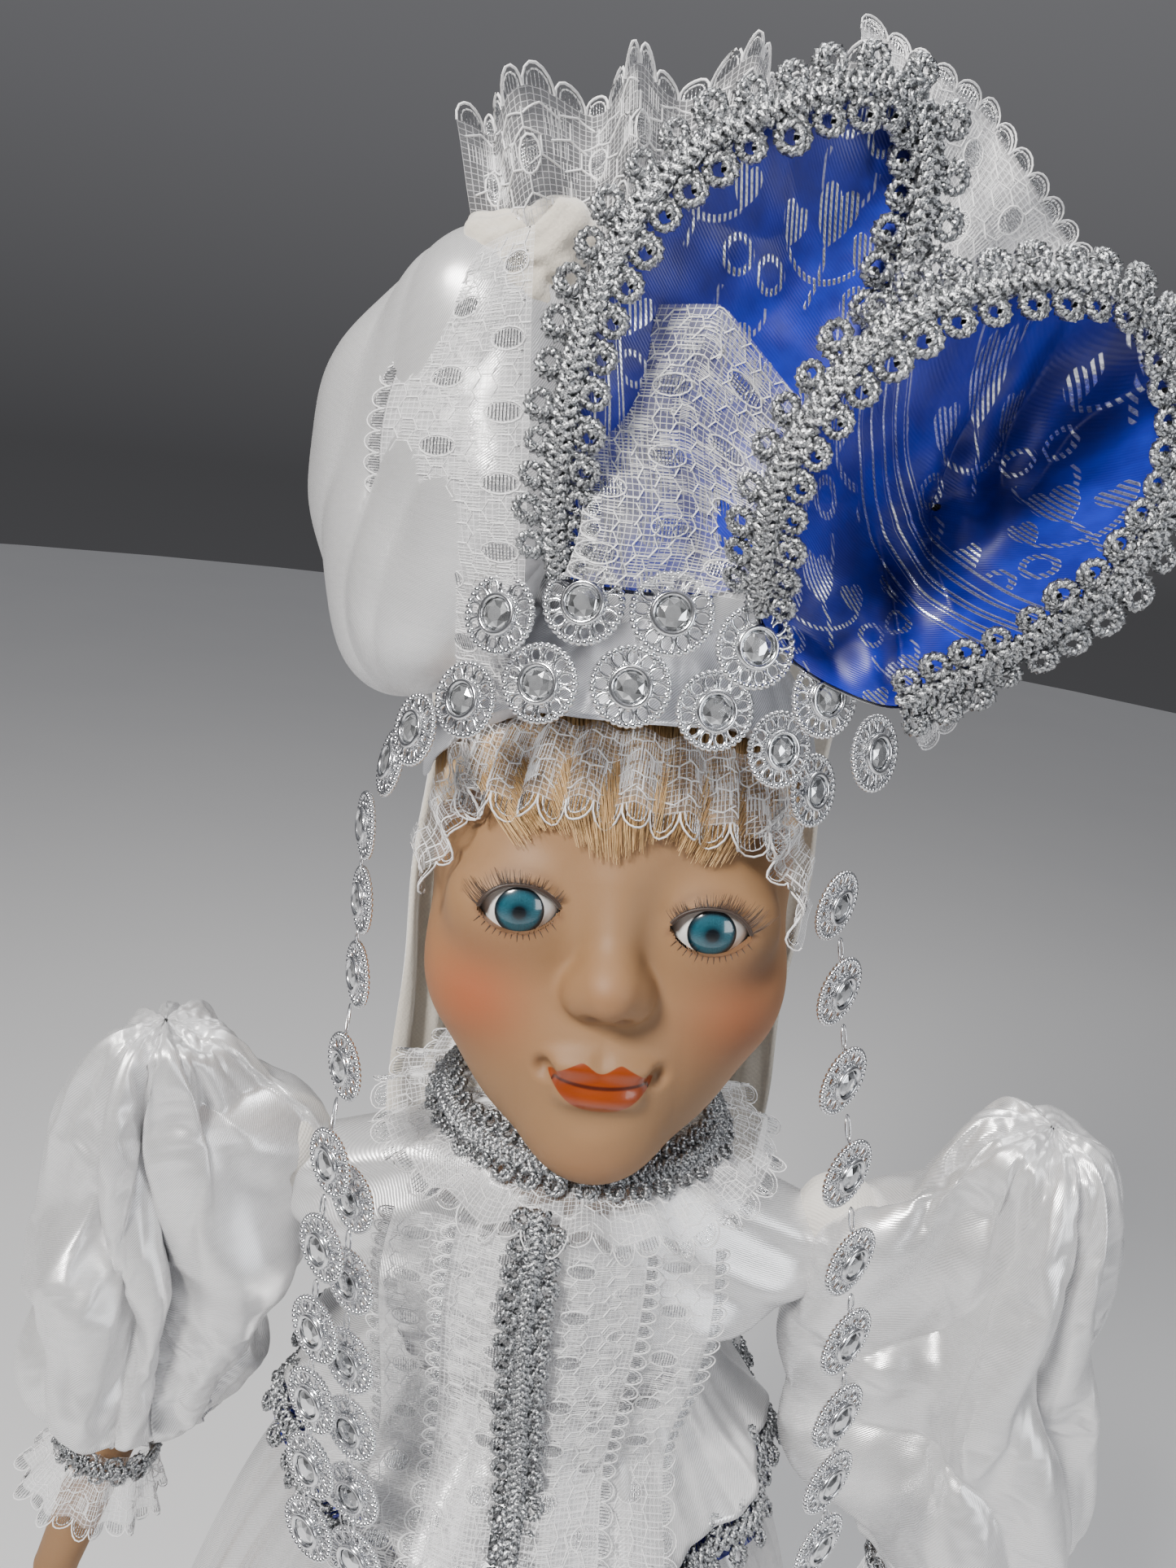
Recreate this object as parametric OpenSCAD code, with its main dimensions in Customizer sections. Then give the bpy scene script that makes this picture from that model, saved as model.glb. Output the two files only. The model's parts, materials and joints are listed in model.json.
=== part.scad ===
// Collectible porcelain doll on a stand: bisque head, cloth body, satin dress and petal headdress.
// Frame: +Z up, the doll faces -Y, and the origin is the centre of the stand's underside.

/* [Stand] */
// Radius of the stand's round base
base_r = 60; // [55:1:66]
// Thickness of the stand's base
base_h = 3; // [2:0.5:4]
// Radius of the stand's upright post
post_r = 2.5; // [2:0.25:3]

/* [Head] */
// Tilt of the head forwards (negative looks up), in degrees
head_pitch = -7; // [-9:0.5:-5]
// Lean of the head towards its right shoulder (negative), in degrees
head_roll = -3; // [-4:0.5:0]
// Turn of the head to its left, in degrees
head_yaw = 2; // [0:0.5:3]
// Radius of the glass eyes
eye_r = 7; // [6.8:0.1:7.2]
// Distance between the centres of the eyes
eye_gap = 28.4; // [28:0.2:29]
// Thickness of the porcelain
shell_t = 2.4; // [2:0.1:2.6]

/* [Rosettes] */
// Radius of one flower rosette
rosette_r = 5.1; // [4.8:0.1:5.3]
// Thickness of one flower rosette
rosette_t = 1.4; // [1.2:0.1:1.6]
// Radius of the clear stone in a rosette
stone_r = 2.3; // [2:0.1:2.5]
// Distance between two rosettes of a strand, centre to centre
strand_pitch = 11.6; // [11.4:0.1:11.8]

/* [Dress] */
// Radius of the skirt at its hem
hem_r = 98; // [94:1:100]
// Height of the hem above the ground
hem_z = 6; // [5:0.5:8]
// Thickness of the satin layers
cloth_t = 1.2; // [1:0.1:1.4]
// Radius of the round gimp braid
gimp_r = 2.2; // [2:0.1:2.4]
// Radius of the left sleeve's upper puff
left_puff_r = 23; // [21:0.5:23.5]
// Radius of the right sleeve's upper puff
right_puff_r = 27; // [25:0.5:28]

/* [Hidden] */
$fn = 48;
clear = 0.3;
tiny = 0.01;

porcelain = "#e8b997";
satin = "#f2f1ef";
lace_white = "#fbfbfb";
brocade = "#1d3fa8";
silver = "#c4c8cc";
cotton = "#efe9dc";

// Joint centres and the head's own frame, whose origin lies midway between the eyes.
neck = [1, 2, 286];
neck_ball_r = 12.6;
head_at = [0, 2.5, 340];
shoulder = [51, 2, 280];
hip = [18, 2, 199];
knee_z = 118;
elbow = [74, 0, 232];
wrist = [88, -8, 182];

// ---- shared shapes ----

// Places children in the head's own frame.
module in_head() {
    translate(head_at) rotate([head_pitch, head_roll, head_yaw]) children();
}

// A straight round limb from a to b, its radius running from ra to rb.
module limb(a, b, ra, rb) {
    way = b - a;
    length = norm(way);
    translate(a)
        rotate([0, acos(way.z / length), atan2(way.y, way.x)])
            cylinder(h = length, r1 = ra, r2 = rb);
}

// Mirrors children to the -X side when side is -1.
module on_side(side) {
    mirror([side < 0 ? 1 : 0, 0, 0]) children();
}

// A flared shell of revolution between two profile radii, open at both ends.
module flared_shell(profile, wall) {
    inner = [for (i = [len(profile) - 1:-1:0]) [profile[i].x - wall, profile[i].y]];
    rotate_extrude($fn = 96) polygon(concat(profile, inner));
}

// The head's closed outer form, grown outwards by g.
module face_form(g) {
    hull() {
        translate([0, 4, 16]) sphere(28 + g, $fn = 32);
        translate([0, -7, 14]) sphere(23 + g, $fn = 32);
        translate([10, -12, -10]) sphere(16 + g, $fn = 32);
        translate([-10, -12, -10]) sphere(16 + g, $fn = 32);
        translate([0, -22, -33]) sphere(8 + g, $fn = 32);
    }
}

// The dressed hair's outer form over the crown, grown outwards by g.
module hair_form(g) {
    hull() {
        translate([0, 4.5, 16]) sphere(31.4 + g, $fn = 32);
        translate([0, -7, 15]) sphere(25.8 + g, $fn = 32);
    }
}

// ---- stand ----

module stand_base() {
    color(silver) difference() {
        cylinder(h = base_h, r = base_r, $fn = 96);
        translate([0, post_y, base_h - 2]) cylinder(h = 3, r = post_r);
    }
}

post_y = 35.5;
clip_z = 212;

module stand_post() {
    color(silver) translate([0, post_y, base_h - 2]) cylinder(h = clip_z - base_h + 2, r = post_r);
}

module stand_clip() {
    color(silver) translate([0, 2, clip_z]) difference() {
        union() {
            cylinder(h = 4, r = 31.5);
            translate([0, post_y - 2, 0]) cylinder(h = 4, r = post_r + 1.2);
        }
        translate([0, 0, -1]) cylinder(h = 6, r = 29.8);
    }
}

// ---- body ----

waist_z = 238;
torso_top_z = 262;

module torso_form(g) {
    hull() {
        translate([0, 2, torso_top_z - tiny]) scale([1.45, 1, 1]) cylinder(h = tiny, r = 19 + g, $fn = 32);
        translate([0, 2, waist_z]) scale([1.2, 1, 1]) cylinder(h = tiny, r = 16 + g, $fn = 32);
    }
    hull() {
        translate([0, 2, waist_z]) scale([1.2, 1, 1]) cylinder(h = tiny, r = 16 + g, $fn = 32);
        translate([0, 2, clip_z + 4]) scale([1.3, 1, 1]) cylinder(h = tiny, r = 21 + g, $fn = 32);
        translate([0, 2, 204]) scale([1.4, 1, 1]) cylinder(h = tiny, r = 20 + g, $fn = 32);
        translate([0, 2, hip.z + 1.5]) scale([1.5, 1, 1]) cylinder(h = tiny, r = 15 + g, $fn = 32);
    }
}

module torso() {
    color(cotton) torso_form(0);
}

module plate_form(g, low) {
    hull() {
        translate([33, 3, 273]) sphere(8 + g, $fn = 24);
        translate([-33, 3, 273]) sphere(8 + g, $fn = 24);
        translate([1, 2, 280]) sphere(15.5 + g, $fn = 24);
        translate([0, 2, low]) scale([1.5, 1, 1]) cylinder(h = tiny, r = 21 + g, $fn = 32);
    }
}

module shoulder_plate() {
    color(porcelain) difference() {
        union() {
            difference() {
                plate_form(0, torso_top_z + 0.3);
                plate_form(-shell_t, torso_top_z - 1);
            }
            translate([neck.x, neck.y, 270]) cylinder(h = 16, r = 15);
        }
        translate(neck) sphere(neck_ball_r + clear);
        translate([neck.x, neck.y, neck.z]) cylinder(h = 20, r = 14.5);
        translate([neck.x, neck.y, 260]) cylinder(h = 20, r = 2.2);
    }
}

module neck_washer() {
    color(silver) translate([neck.x, neck.y, 264.6]) difference() {
        union() {
            translate([0, 0, 4]) cylinder(h = 1.2, r = 7);
            cylinder(h = 4, r = 3.2, $fn = 24);
            translate([-7, -0.7, 0.6]) cube([14, 1.4, 3]);
        }
        translate([0, 0, -1]) cylinder(h = 8, r = 2.1);
    }
}

module bodice() {
    color(satin) difference() {
        intersection() {
            union() {
                plate_form(2, torso_top_z);
                torso_form(2.2);
            }
            translate([-40.5, -60, waist_z + 1]) cube([81, 120, 60]);
        }
        plate_form(clear, torso_top_z + 0.3);
        torso_form(clear);
        translate([neck.x, neck.y, 250]) cylinder(h = 60, r = 16);
    }
}

// The bodice's back at height z, where it follows the torso.
function bodice_back(z) = lookup(z, [[waist_z, 20.2], [torso_top_z, 23.2]]);
snap_r = 2;
snap_gap = 0.45;
snap_heights = [244.5, 251, 257.5];

module bodice_snaps() {
    color(silver) for (z = snap_heights)
        translate([0, bodice_back(z) + snap_gap, z]) rotate([-90, 0, 0]) cylinder(h = 1.2, r = snap_r, $fn = 24);
}

module collar_lace() {
    color(lace_white) translate([neck.x, neck.y - 1, 0]) rotate_extrude($fn = 96)
        polygon([[20, 297.6], [37, 291.6], [37, 290.6], [20, 296.6]]);
}

module collar_gimp() {
    color(silver) translate([neck.x, neck.y - 2, 299.2]) rotate_extrude($fn = 96)
        translate([25, 0]) circle(gimp_r, $fn = 24);
}

module jabot_lace() {
    color(lace_white) translate([-27, -30.6, 249.5]) cube([56, 1.6, 39.5]);
}

module jabot_gimp() {
    color(silver) translate([-4.5, -33.4, 249.5]) cube([9, 2.6, 39.5]);
}

module peplum() {
    color(brocade) flared_shell([[27.5, 248.6], [31, 243], [38, 236], [46, 230]], cloth_t);
}

module peplum_gimp() {
    color(silver) translate([0, 0, 235.4]) rotate_extrude($fn = 96)
        translate([43.2, 0]) circle(gimp_r, $fn = 24);
}

skirt_profile = [
    [25.8, 241], [33, 233], [44, 221], [54, 200], [65, 165], [76, 120], [89, 60], [hem_r, hem_z]
];

module skirt() {
    color(satin) flared_shell(skirt_profile, cloth_t);
}

module petticoat() {
    color(cotton) flared_shell([[40, 221], [50, 200], [61, 165], [72, 120], [85, 60], [hem_r - 5, hem_z + 2]], 1);
}

// ---- head ----

module head() {
    color(porcelain) difference() {
        union() {
            in_head() difference() {
                face_form(0);
                face_form(-shell_t);
                translate([-40, -30, 31]) cube([80, 80, 40]);
                for (side = [-1, 1])
                    translate([side * eye_gap / 2, -40, 0]) rotate([-90, 0, 0]) cylinder(h = 22, r = 5.2);
                for (side = [-1, 1])
                    translate([side * eye_gap / 2, eye_y, 0]) sphere(eye_r + 0.15);
            }
            difference() {
                translate([neck.x, neck.y, neck.z]) cylinder(h = 36, r = 11);
                in_head() translate([0, -2, 0]) sphere(24);
            }
            translate(neck) sphere(neck_ball_r);
        }
        translate([neck.x, neck.y, neck.z - 2]) cylinder(h = 60, r = 7.5);
        translate([neck.x, neck.y, neck.z - 20]) cylinder(h = 30, r = 2.3);
    }
}

module neck_bolt() {
    color(silver) {
        translate([neck.x, neck.y, neck.z - 2]) cylinder(h = 2.4, r = 5, $fn = 24);
        translate([neck.x, neck.y, 265.6]) cylinder(h = neck.z - 2 - 265.6, r = 1.9, $fn = 24);
    }
}

module pate() {
    color(cotton) in_head() intersection() {
        difference() {
            face_form(-shell_t - clear);
            face_form(-shell_t - 2);
        }
        translate([-40, -40, 31.3]) cube([80, 80, 30]);
    }
}

eye_y = -22.2;

module eye(side) {
    color("white") in_head() translate([side * eye_gap / 2, eye_y, 0]) sphere(eye_r);
}

// Each iris is a thin cap fused to the front of its eye.
module irises() {
    color("#2f7f8f") in_head() for (side = [-1, 1])
        translate([side * eye_gap / 2, eye_y, 0]) intersection() {
            difference() {
                sphere(eye_r + 0.4);
                sphere(eye_r + 0.02);
            }
            rotate([90, 0, 0]) cylinder(h = 10, r = 3.65);
        }
}

module upper_lashes() {
    color("#5b3a21") in_head() for (side = [-1, 1])
        translate([side * eye_gap / 2, -30.4, 0]) rotate([90, 0, 0])
            rotate([0, 0, 25]) rotate_extrude(angle = 130) translate([5.4, 0]) square([0.9, 1.6]);
}

module wig() {
    color("#c79a5b") in_head() difference() {
        intersection() {
            hair_form(0);
            translate([-40, -12, -14]) cube([80, 60, 70]);
        }
        face_form(clear);
        translate([0, 4, 16]) sphere(28.6);
    }
}

module bangs() {
    color("#d9ae6c") in_head() difference() {
        intersection() {
            hair_form(0);
            translate([-24, -40, 17]) cube([48, 27.6, 26]);
        }
        face_form(clear);
    }
}

// ---- headdress ----

module headdress_foundation() {
    color("#dfe3ee") in_head() difference() {
        hair_form(2.4);
        hair_form(clear);
        translate([-60, -60, -60]) cube([120, 120, 88]);
    }
}

// Heights and depths of the two brow rows and of the strands, as functions of position.
function lower_row(a) = [-3 + 34 * sin(a), -4.5 - 34 * cos(a), 381 - 32.4 * (1 - cos(a))];
function upper_row(x) = [x, -41.5 + 0.013 * (x - 2) * (x - 2), 391.6 - 0.0147 * (x + 2.5) * (x + 2.5)];
lower_angles = [-71, -55, -37, -18.5, 1, 20, 39, 56];
upper_places = [-20, -9.6, 1.1, 11.8, 22, 31];

// Puts children at a point, their Z axis turned to face outwards from the head's middle.
module facing_out(p, lift) {
    around = atan2(p.x, -p.y);
    translate(p) rotate([0, 0, around]) rotate([90 - lift, 0, 0]) children();
}

module rosette() {
    difference() {
        union() {
            cylinder(h = rosette_t, r = rosette_r, $fn = 24);
            cylinder(h = rosette_t + 0.9, r = stone_r + 0.7, $fn = 24);
        }
        translate([0, 0, rosette_t - 0.1]) cylinder(h = 2, r = stone_r + 0.06, $fn = 24);
    }
}

module stone() {
    translate([0, 0, rosette_t - 0.05]) {
        cylinder(h = 0.6, r = stone_r, $fn = 24);
        translate([0, 0, 0.6]) cylinder(h = 0.8, r1 = stone_r, r2 = stone_r * 0.55, $fn = 24);
    }
}

module brow_places() {
    for (a = lower_angles) facing_out(lower_row(a), 12) children();
    for (x = upper_places) facing_out(upper_row(x), 12) children();
}

module brow_lace() {
    color(lace_white) in_head() intersection() {
        difference() {
            hair_form(2.1);
            hair_form(clear);
        }
        translate([-60, -60, 24.4]) cube([120, 54, 3.3]);
    }
}

module brow_rosettes() {
    color(silver) brow_places() rosette();
}

module brow_stones() {
    color("#e8eef2") brow_places() stone();
}

// A leaf outline standing in the XZ plane, thickness t along Y.
module leaf(points, t) {
    rotate([90, 0, 0]) linear_extrude(t) hull() for (p = points) translate([p.x, p.y]) circle(p.z, $fn = 32);
}

right_bowl = [33, -30, 408];
bowl_r = 30;
bowl_edge = 23;
gimp_gap = 0.3;

module right_bowl_pose() {
    translate(right_bowl) rotate([0, 0, 16]) rotate([84, 0, 0]) children();
}

// The room the right petal and its braid take up, which the centre petal stays out of.
module right_bowl_room() {
    right_bowl_pose() cylinder(h = 60, r = bowl_edge + gimp_gap + 2 * gimp_r + clear, center = true);
}

module centre_petal() {
    color(brocade) difference() {
        translate([0, -42.6, 0]) leaf([[-6, 402, 7], [-5, 425, 9], [6, 440, 10], [12, 441, 9], [4, 402, 7]], 3);
        right_bowl_room();
    }
}

module centre_petal_gimp() {
    color(silver) difference() {
        translate([0, -45.9, 0]) difference() {
            leaf([[-6, 402, 8], [-5, 425, 10], [6, 440, 11], [12, 441, 10], [4, 402, 8]], 4);
            translate([0, 1, 0]) leaf([[-6, 400, 4], [-5, 424, 5.6], [6, 438, 6.2], [12, 440, 5], [4, 400, 4]], 6);
        }
        right_bowl_room();
    }
}

// A shallow bowl that opens forwards and a little to the side.
module right_petal() {
    color(brocade) right_bowl_pose() intersection() {
        difference() {
            translate([0, 0, 26]) sphere(bowl_r);
            translate([0, 0, 26]) sphere(bowl_r - 2.4);
        }
        translate([0, 0, -6]) cylinder(h = 22, r = bowl_edge);
    }
}

module right_petal_gimp() {
    color(silver) right_bowl_pose() translate([0, 0, 10]) rotate_extrude($fn = 64)
        translate([bowl_edge + gimp_gap + gimp_r, 0]) circle(gimp_r, $fn = 24);
}

module left_petal() {
    color(lace_white) difference() {
        hull() {
            translate([-41, -6, 411]) sphere(12, $fn = 32);
            translate([-41, -3, 374]) sphere(7, $fn = 32);
            translate([-28, -18, 424]) sphere(11, $fn = 32);
            translate([-24, -24, 398]) sphere(8, $fn = 32);
        }
        in_head() hair_form(2.7);
    }
}

module crown_puff() {
    color(satin) difference() {
        hull() {
            translate([2, 12, 414]) sphere(24, $fn = 32);
            translate([-12, 8, 402]) sphere(17, $fn = 32);
            translate([16, 8, 404]) sphere(17, $fn = 32);
            translate([0, 26, 392]) sphere(16, $fn = 32);
        }
        in_head() hair_form(2.7);
        hull() {
            translate([-41, -6, 411]) sphere(12.4, $fn = 32);
            translate([-41, -3, 374]) sphere(7.4, $fn = 32);
            translate([-28, -18, 424]) sphere(11.4, $fn = 32);
            translate([-24, -24, 398]) sphere(8.4, $fn = 32);
        }
    }
}

module top_ruffle() {
    color(lace_white) translate([0, -26, 0]) leaf([[-23, 443, 12], [2, 449, 12], [-10, 446, 14]], 2);
}

module side_drape() {
    color(lace_white) difference() {
        translate([20, -8, 0]) rotate([0, 0, 24])
            leaf([[4, 446, 18], [24, 432, 20], [32, 396, 14], [18, 378, 10]], 2.5);
        translate([2, 12, 414]) sphere(24.4);
        translate([16, 8, 404]) sphere(17.4);
        in_head() hair_form(2.7);
        right_bowl_pose() translate([0, 0, 26]) sphere(bowl_r + 0.4);
    }
}

module nape_drape() {
    color(cotton) translate([0, 4, 0]) intersection() {
        difference() {
            translate([0, 0, 262]) cylinder(h = 118, r = 46, $fn = 96);
            translate([0, 0, 261]) cylinder(h = 120, r = 44, $fn = 96);
        }
        rotate([0, 0, 90]) translate([21, -38, 250]) cube([60, 76, 140]);
    }
}

// ---- hanging strands ----

// Depth and side position of a strand at height z.
function right_strand_at(z) = [
    lookup(z, [[245, 45], [300, 41], [340, 33.5], [356, 30.5]]),
    lookup(z, [[245, -48], [285, -47], [310, -42], [335, -31], [350, -26], [356, -25]]),
    z
];
function left_strand_at(z) = [
    lookup(z, [[238, -31], [300, -35], [320, -36], [352, -38]]),
    lookup(z, [[238, -46], [276, -44], [300, -37], [327, -19], [352, -16]]),
    z
];
// The left strand is doubled below the chin: its second run hangs beside and behind the first.
function left_second_at(z) = left_strand_at(z) + [lookup(z, [[238, 7], [300, 3.2]]), lookup(z, [[238, 1.4], [300, 3]]), 0];
right_strand_z = [for (i = [0:9]) 351 - i * strand_pitch];
left_strand_z = [for (i = [0:9]) 349 - i * strand_pitch];
left_second_z = [for (i = [0:5]) 296.8 - i * strand_pitch];

module right_strand_places() {
    for (z = right_strand_z) facing_out(right_strand_at(z), 0) children();
}

module left_strand_places() {
    for (z = left_strand_z) facing_out(left_strand_at(z), 0) children();
    for (z = left_second_z) facing_out(left_second_at(z), 0) children();
}

module left_strand_rosettes() {
    color(silver) left_strand_places() rosette();
}

module left_strand_stones() {
    color("#e8eef2") left_strand_places() stone();
}

module right_strand_rosettes() {
    color(silver) right_strand_places() rosette();
}

module right_strand_stones() {
    color("#e8eef2") right_strand_places() stone();
}

// ---- arms and sleeves ----

module arm_shapes(g) {
    translate(shoulder) sphere(8 + g);
    limb(shoulder, elbow, 8 + g, 7 + g);
    limb(elbow, wrist, 6.4 + g, 4.2 + g);
}

module upper_arm(side) {
    color(cotton) on_side(side) {
        translate(shoulder) sphere(8);
        limb(shoulder, elbow, 8, 7);
    }
}

module forearm(side) {
    palm = wrist + [1.4, -2, -9];
    color(porcelain) on_side(side) {
        difference() {
            limb(elbow, wrist, 6.4, 4.2);
            limb(shoulder, elbow, 8, 7);
        }
        translate(wrist) sphere(4.3);
        hull() {
            translate(wrist) sphere(3.8, $fn = 24);
            translate(palm + [0, 3.4, 0]) sphere(2.6, $fn = 24);
            translate(palm + [0, -3.4, 0]) sphere(2.6, $fn = 24);
        }
        for (i = [-1.5:1:1.5]) {
            tip = palm + [0.8 - abs(i) * 0.2, i * 2.5 - 1.2, -13 + abs(i) * 1.6];
            limb(palm + [0, i * 2.1, 0], tip, 1.7, 1.2);
            translate(tip) sphere(1.25, $fn = 24);
        }
        thumb_tip = palm + [-1.5, -8, -3];
        limb(palm + [0, -3.2, 4], thumb_tip, 2, 1.4);
        translate(thumb_tip) sphere(1.45, $fn = 24);
    }
}

module sleeve(side, centre, puff_r) {
    lower = [centre.x + side * 5, centre.y - 5, centre.z - 40];
    color(satin) difference() {
        union() {
            translate(centre) sphere(puff_r);
            translate(lower) sphere(puff_r - 2);
        }
        on_side(side) arm_shapes(clear);
    }
}

module cuff(side) {
    start = elbow + (wrist - elbow) * 0.42;
    end = elbow + (wrist - elbow) * 0.62;
    color(lace_white) on_side(side) difference() {
        limb(start, end, 9.5, 12.5);
        arm_shapes(clear);
    }
}

module left_upper_arm() { upper_arm(-1); }
module left_forearm() { forearm(-1); }
module left_sleeve() { sleeve(-1, [-70, -1, 283], left_puff_r); }
module left_cuff() { cuff(-1); }
module right_upper_arm() { upper_arm(1); }
module right_forearm() { forearm(1); }
module right_sleeve() { sleeve(1, [79, -2, 284], right_puff_r); }
module right_cuff() { cuff(1); }

// ---- legs ----

module thigh(side) {
    color(cotton) translate([side * hip.x, hip.y, 0]) {
        translate([0, 0, hip.z - 12]) sphere(12);
        translate([0, 0, knee_z]) cylinder(h = hip.z - 12 - knee_z, r1 = 9.5, r2 = 12);
    }
}

module foot_form(side, g) {
    hull() {
        translate([side * hip.x, hip.y + 2, 13]) sphere(4.5 + g, $fn = 24);
        translate([side * hip.x, hip.y - 22, 11.5]) sphere(4 + g, $fn = 24);
    }
}

module lower_leg(side) {
    color(porcelain) {
        translate([side * hip.x, hip.y, 60]) cylinder(h = knee_z - 60, r1 = 8.6, r2 = 8.8);
        translate([side * hip.x, hip.y, 13]) cylinder(h = 47, r1 = 4.8, r2 = 8.6);
        foot_form(side, 0);
    }
}

module shoe(side) {
    color("#f4f4f2") difference() {
        foot_form(side, 1.4);
        foot_form(side, 0.05);
        translate([side * hip.x, hip.y, 10]) cylinder(h = 20, r = 8.2);
        translate([side * hip.x - 20, hip.y - 12, 13]) cube([40, 30, 20]);
    }
    color("#8b6a4a") difference() {
        translate([side * hip.x - 4, hip.y + 0.5, 7.1]) cube([8, 5, 3.2]);
        foot_form(side, 0.05);
    }
}

module pantalette(side) {
    color(cotton) translate([side * hip.x, hip.y, 96]) difference() {
        cylinder(h = 86, r1 = 15.4, r2 = 14);
        translate([0, 0, -1]) cylinder(h = 88, r = 12.6);
    }
}

module left_thigh() { thigh(-1); }
module left_lower_leg() { lower_leg(-1); }
module left_shoe() { shoe(-1); }
module left_pantalette() { pantalette(-1); }
module right_thigh() { thigh(1); }
module right_lower_leg() { lower_leg(1); }
module right_shoe() { shoe(1); }
module right_pantalette() { pantalette(1); }

stand_base();
stand_post();
stand_clip();
torso();
shoulder_plate();
neck_washer();
bodice();
bodice_snaps();
collar_lace();
collar_gimp();
jabot_lace();
jabot_gimp();
peplum();
peplum_gimp();
skirt();
petticoat();
head();
neck_bolt();
pate();
eye(-1);  // left_eye
eye(1);  // right_eye
irises();
upper_lashes();
wig();
bangs();
headdress_foundation();
brow_lace();
brow_rosettes();
brow_stones();
centre_petal();
centre_petal_gimp();
right_petal();
right_petal_gimp();
left_petal();
crown_puff();
top_ruffle();
side_drape();
nape_drape();
left_strand_rosettes();
left_strand_stones();
right_strand_rosettes();
right_strand_stones();
left_upper_arm();
left_forearm();
left_sleeve();
left_cuff();
right_upper_arm();
right_forearm();
right_sleeve();
right_cuff();
left_thigh();
left_lower_leg();
left_shoe();
left_pantalette();
right_thigh();
right_lower_leg();
right_shoe();
right_pantalette();
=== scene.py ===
"""Looks of a collectible porcelain doll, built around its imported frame.

Every length in this file is in millimetres in the doll's own frame (+Z up, the doll faces -Y), and
meshes are written in metres. Each sub-assembly is a class with its sizes as fields. A class builds
its meshes, dresses them in its finishes and fastens them to the frame's bodies.
"""

from __future__ import annotations

import json
import logging
import math
from collections.abc import Callable, Sequence
from dataclasses import dataclass, field
from enum import Enum

import bmesh
import bpy
import numpy as np
from mathutils import Euler, Matrix, Vector

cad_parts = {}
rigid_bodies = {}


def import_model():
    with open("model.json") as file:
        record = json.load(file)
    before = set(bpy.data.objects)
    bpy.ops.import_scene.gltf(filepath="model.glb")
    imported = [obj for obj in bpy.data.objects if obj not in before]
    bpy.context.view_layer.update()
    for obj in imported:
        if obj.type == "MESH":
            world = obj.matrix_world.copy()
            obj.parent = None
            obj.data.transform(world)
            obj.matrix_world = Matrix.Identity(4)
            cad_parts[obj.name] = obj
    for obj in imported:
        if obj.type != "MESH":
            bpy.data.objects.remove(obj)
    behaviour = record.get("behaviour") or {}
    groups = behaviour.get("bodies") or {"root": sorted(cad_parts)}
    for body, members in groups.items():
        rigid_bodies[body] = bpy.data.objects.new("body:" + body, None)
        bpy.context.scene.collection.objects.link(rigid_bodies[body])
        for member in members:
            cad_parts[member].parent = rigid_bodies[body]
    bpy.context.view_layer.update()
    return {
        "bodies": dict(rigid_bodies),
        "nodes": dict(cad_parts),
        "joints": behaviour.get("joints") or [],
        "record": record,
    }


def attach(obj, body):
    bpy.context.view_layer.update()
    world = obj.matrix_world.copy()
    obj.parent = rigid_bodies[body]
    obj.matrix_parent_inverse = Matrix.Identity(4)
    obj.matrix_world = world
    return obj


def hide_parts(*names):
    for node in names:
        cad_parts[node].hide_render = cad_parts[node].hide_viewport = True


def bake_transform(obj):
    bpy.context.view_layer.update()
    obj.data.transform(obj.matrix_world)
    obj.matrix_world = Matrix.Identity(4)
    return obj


LOG = logging.getLogger("doll")
MM = 0.001
Array = np.ndarray


class Body(str, Enum):
    """The rigid bodies of the frame."""

    TORSO = "body"
    HEAD = "head"
    LEFT_STRAND = "left_strand"
    RIGHT_STRAND = "right_strand"
    LEFT_ARM = "left_arm"
    RIGHT_ARM = "right_arm"
    LEFT_LEG = "left_leg"
    RIGHT_LEG = "right_leg"


# ---------------------------------------------------------------- numbers


def unit(v: Array) -> Array:
    """Scales vectors to length one along their last axis."""
    return v / np.maximum(np.linalg.norm(v, axis=-1, keepdims=True), 1e-9)


def smooth(x: Array, low: float, high: float) -> Array:
    """A soft step from 0 at low to 1 at high."""
    t = np.clip((np.asarray(x, float) - low) / (high - low), 0, 1)
    return t * t * (3 - 2 * t)


def bell(x: Array, centre: float, width: float) -> Array:
    """A bump of height one at centre."""
    return np.exp(-(((np.asarray(x, float) - centre) / width) ** 2))


def spline(points: Sequence[Sequence[float]], count: int, closed: bool = False) -> Array:
    """Runs a smooth curve through points and samples it at even steps along its length.

    Args:
        points: control points, each with two or more coordinates.
        count: how many samples to return.
        closed: whether the curve returns to its start.

    Returns:
        An array of count rows.
    """
    p = np.array(points, float)
    if closed:
        p = np.vstack([p[-1:], p, p[:2]])
    else:
        p = np.vstack([2 * p[:1] - p[1:2], p, 2 * p[-1:] - p[-2:-1]])
    t = np.linspace(0, 1, 24, endpoint=False)[:, None]
    dense = []
    for a, b, c, d in zip(p[:-3], p[1:-2], p[2:-1], p[3:]):
        dense.append(0.5 * (
            2 * b + (c - a) * t + (2 * a - 5 * b + 4 * c - d) * t**2 + (3 * b - a - 3 * c + d) * t**3
        ))
    dense = np.vstack(dense + [p[-2:-1]])
    run = np.concatenate([[0], np.cumsum(np.linalg.norm(np.diff(dense, axis=0), axis=1))])
    want = np.linspace(0, run[-1], count, endpoint=not closed)
    return np.stack([np.interp(want, run, dense[:, k]) for k in range(dense.shape[1])], axis=1)


def length_of(path: Array) -> float:
    """Length of a polyline."""
    return float(np.linalg.norm(np.diff(path, axis=0), axis=1).sum())



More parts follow.
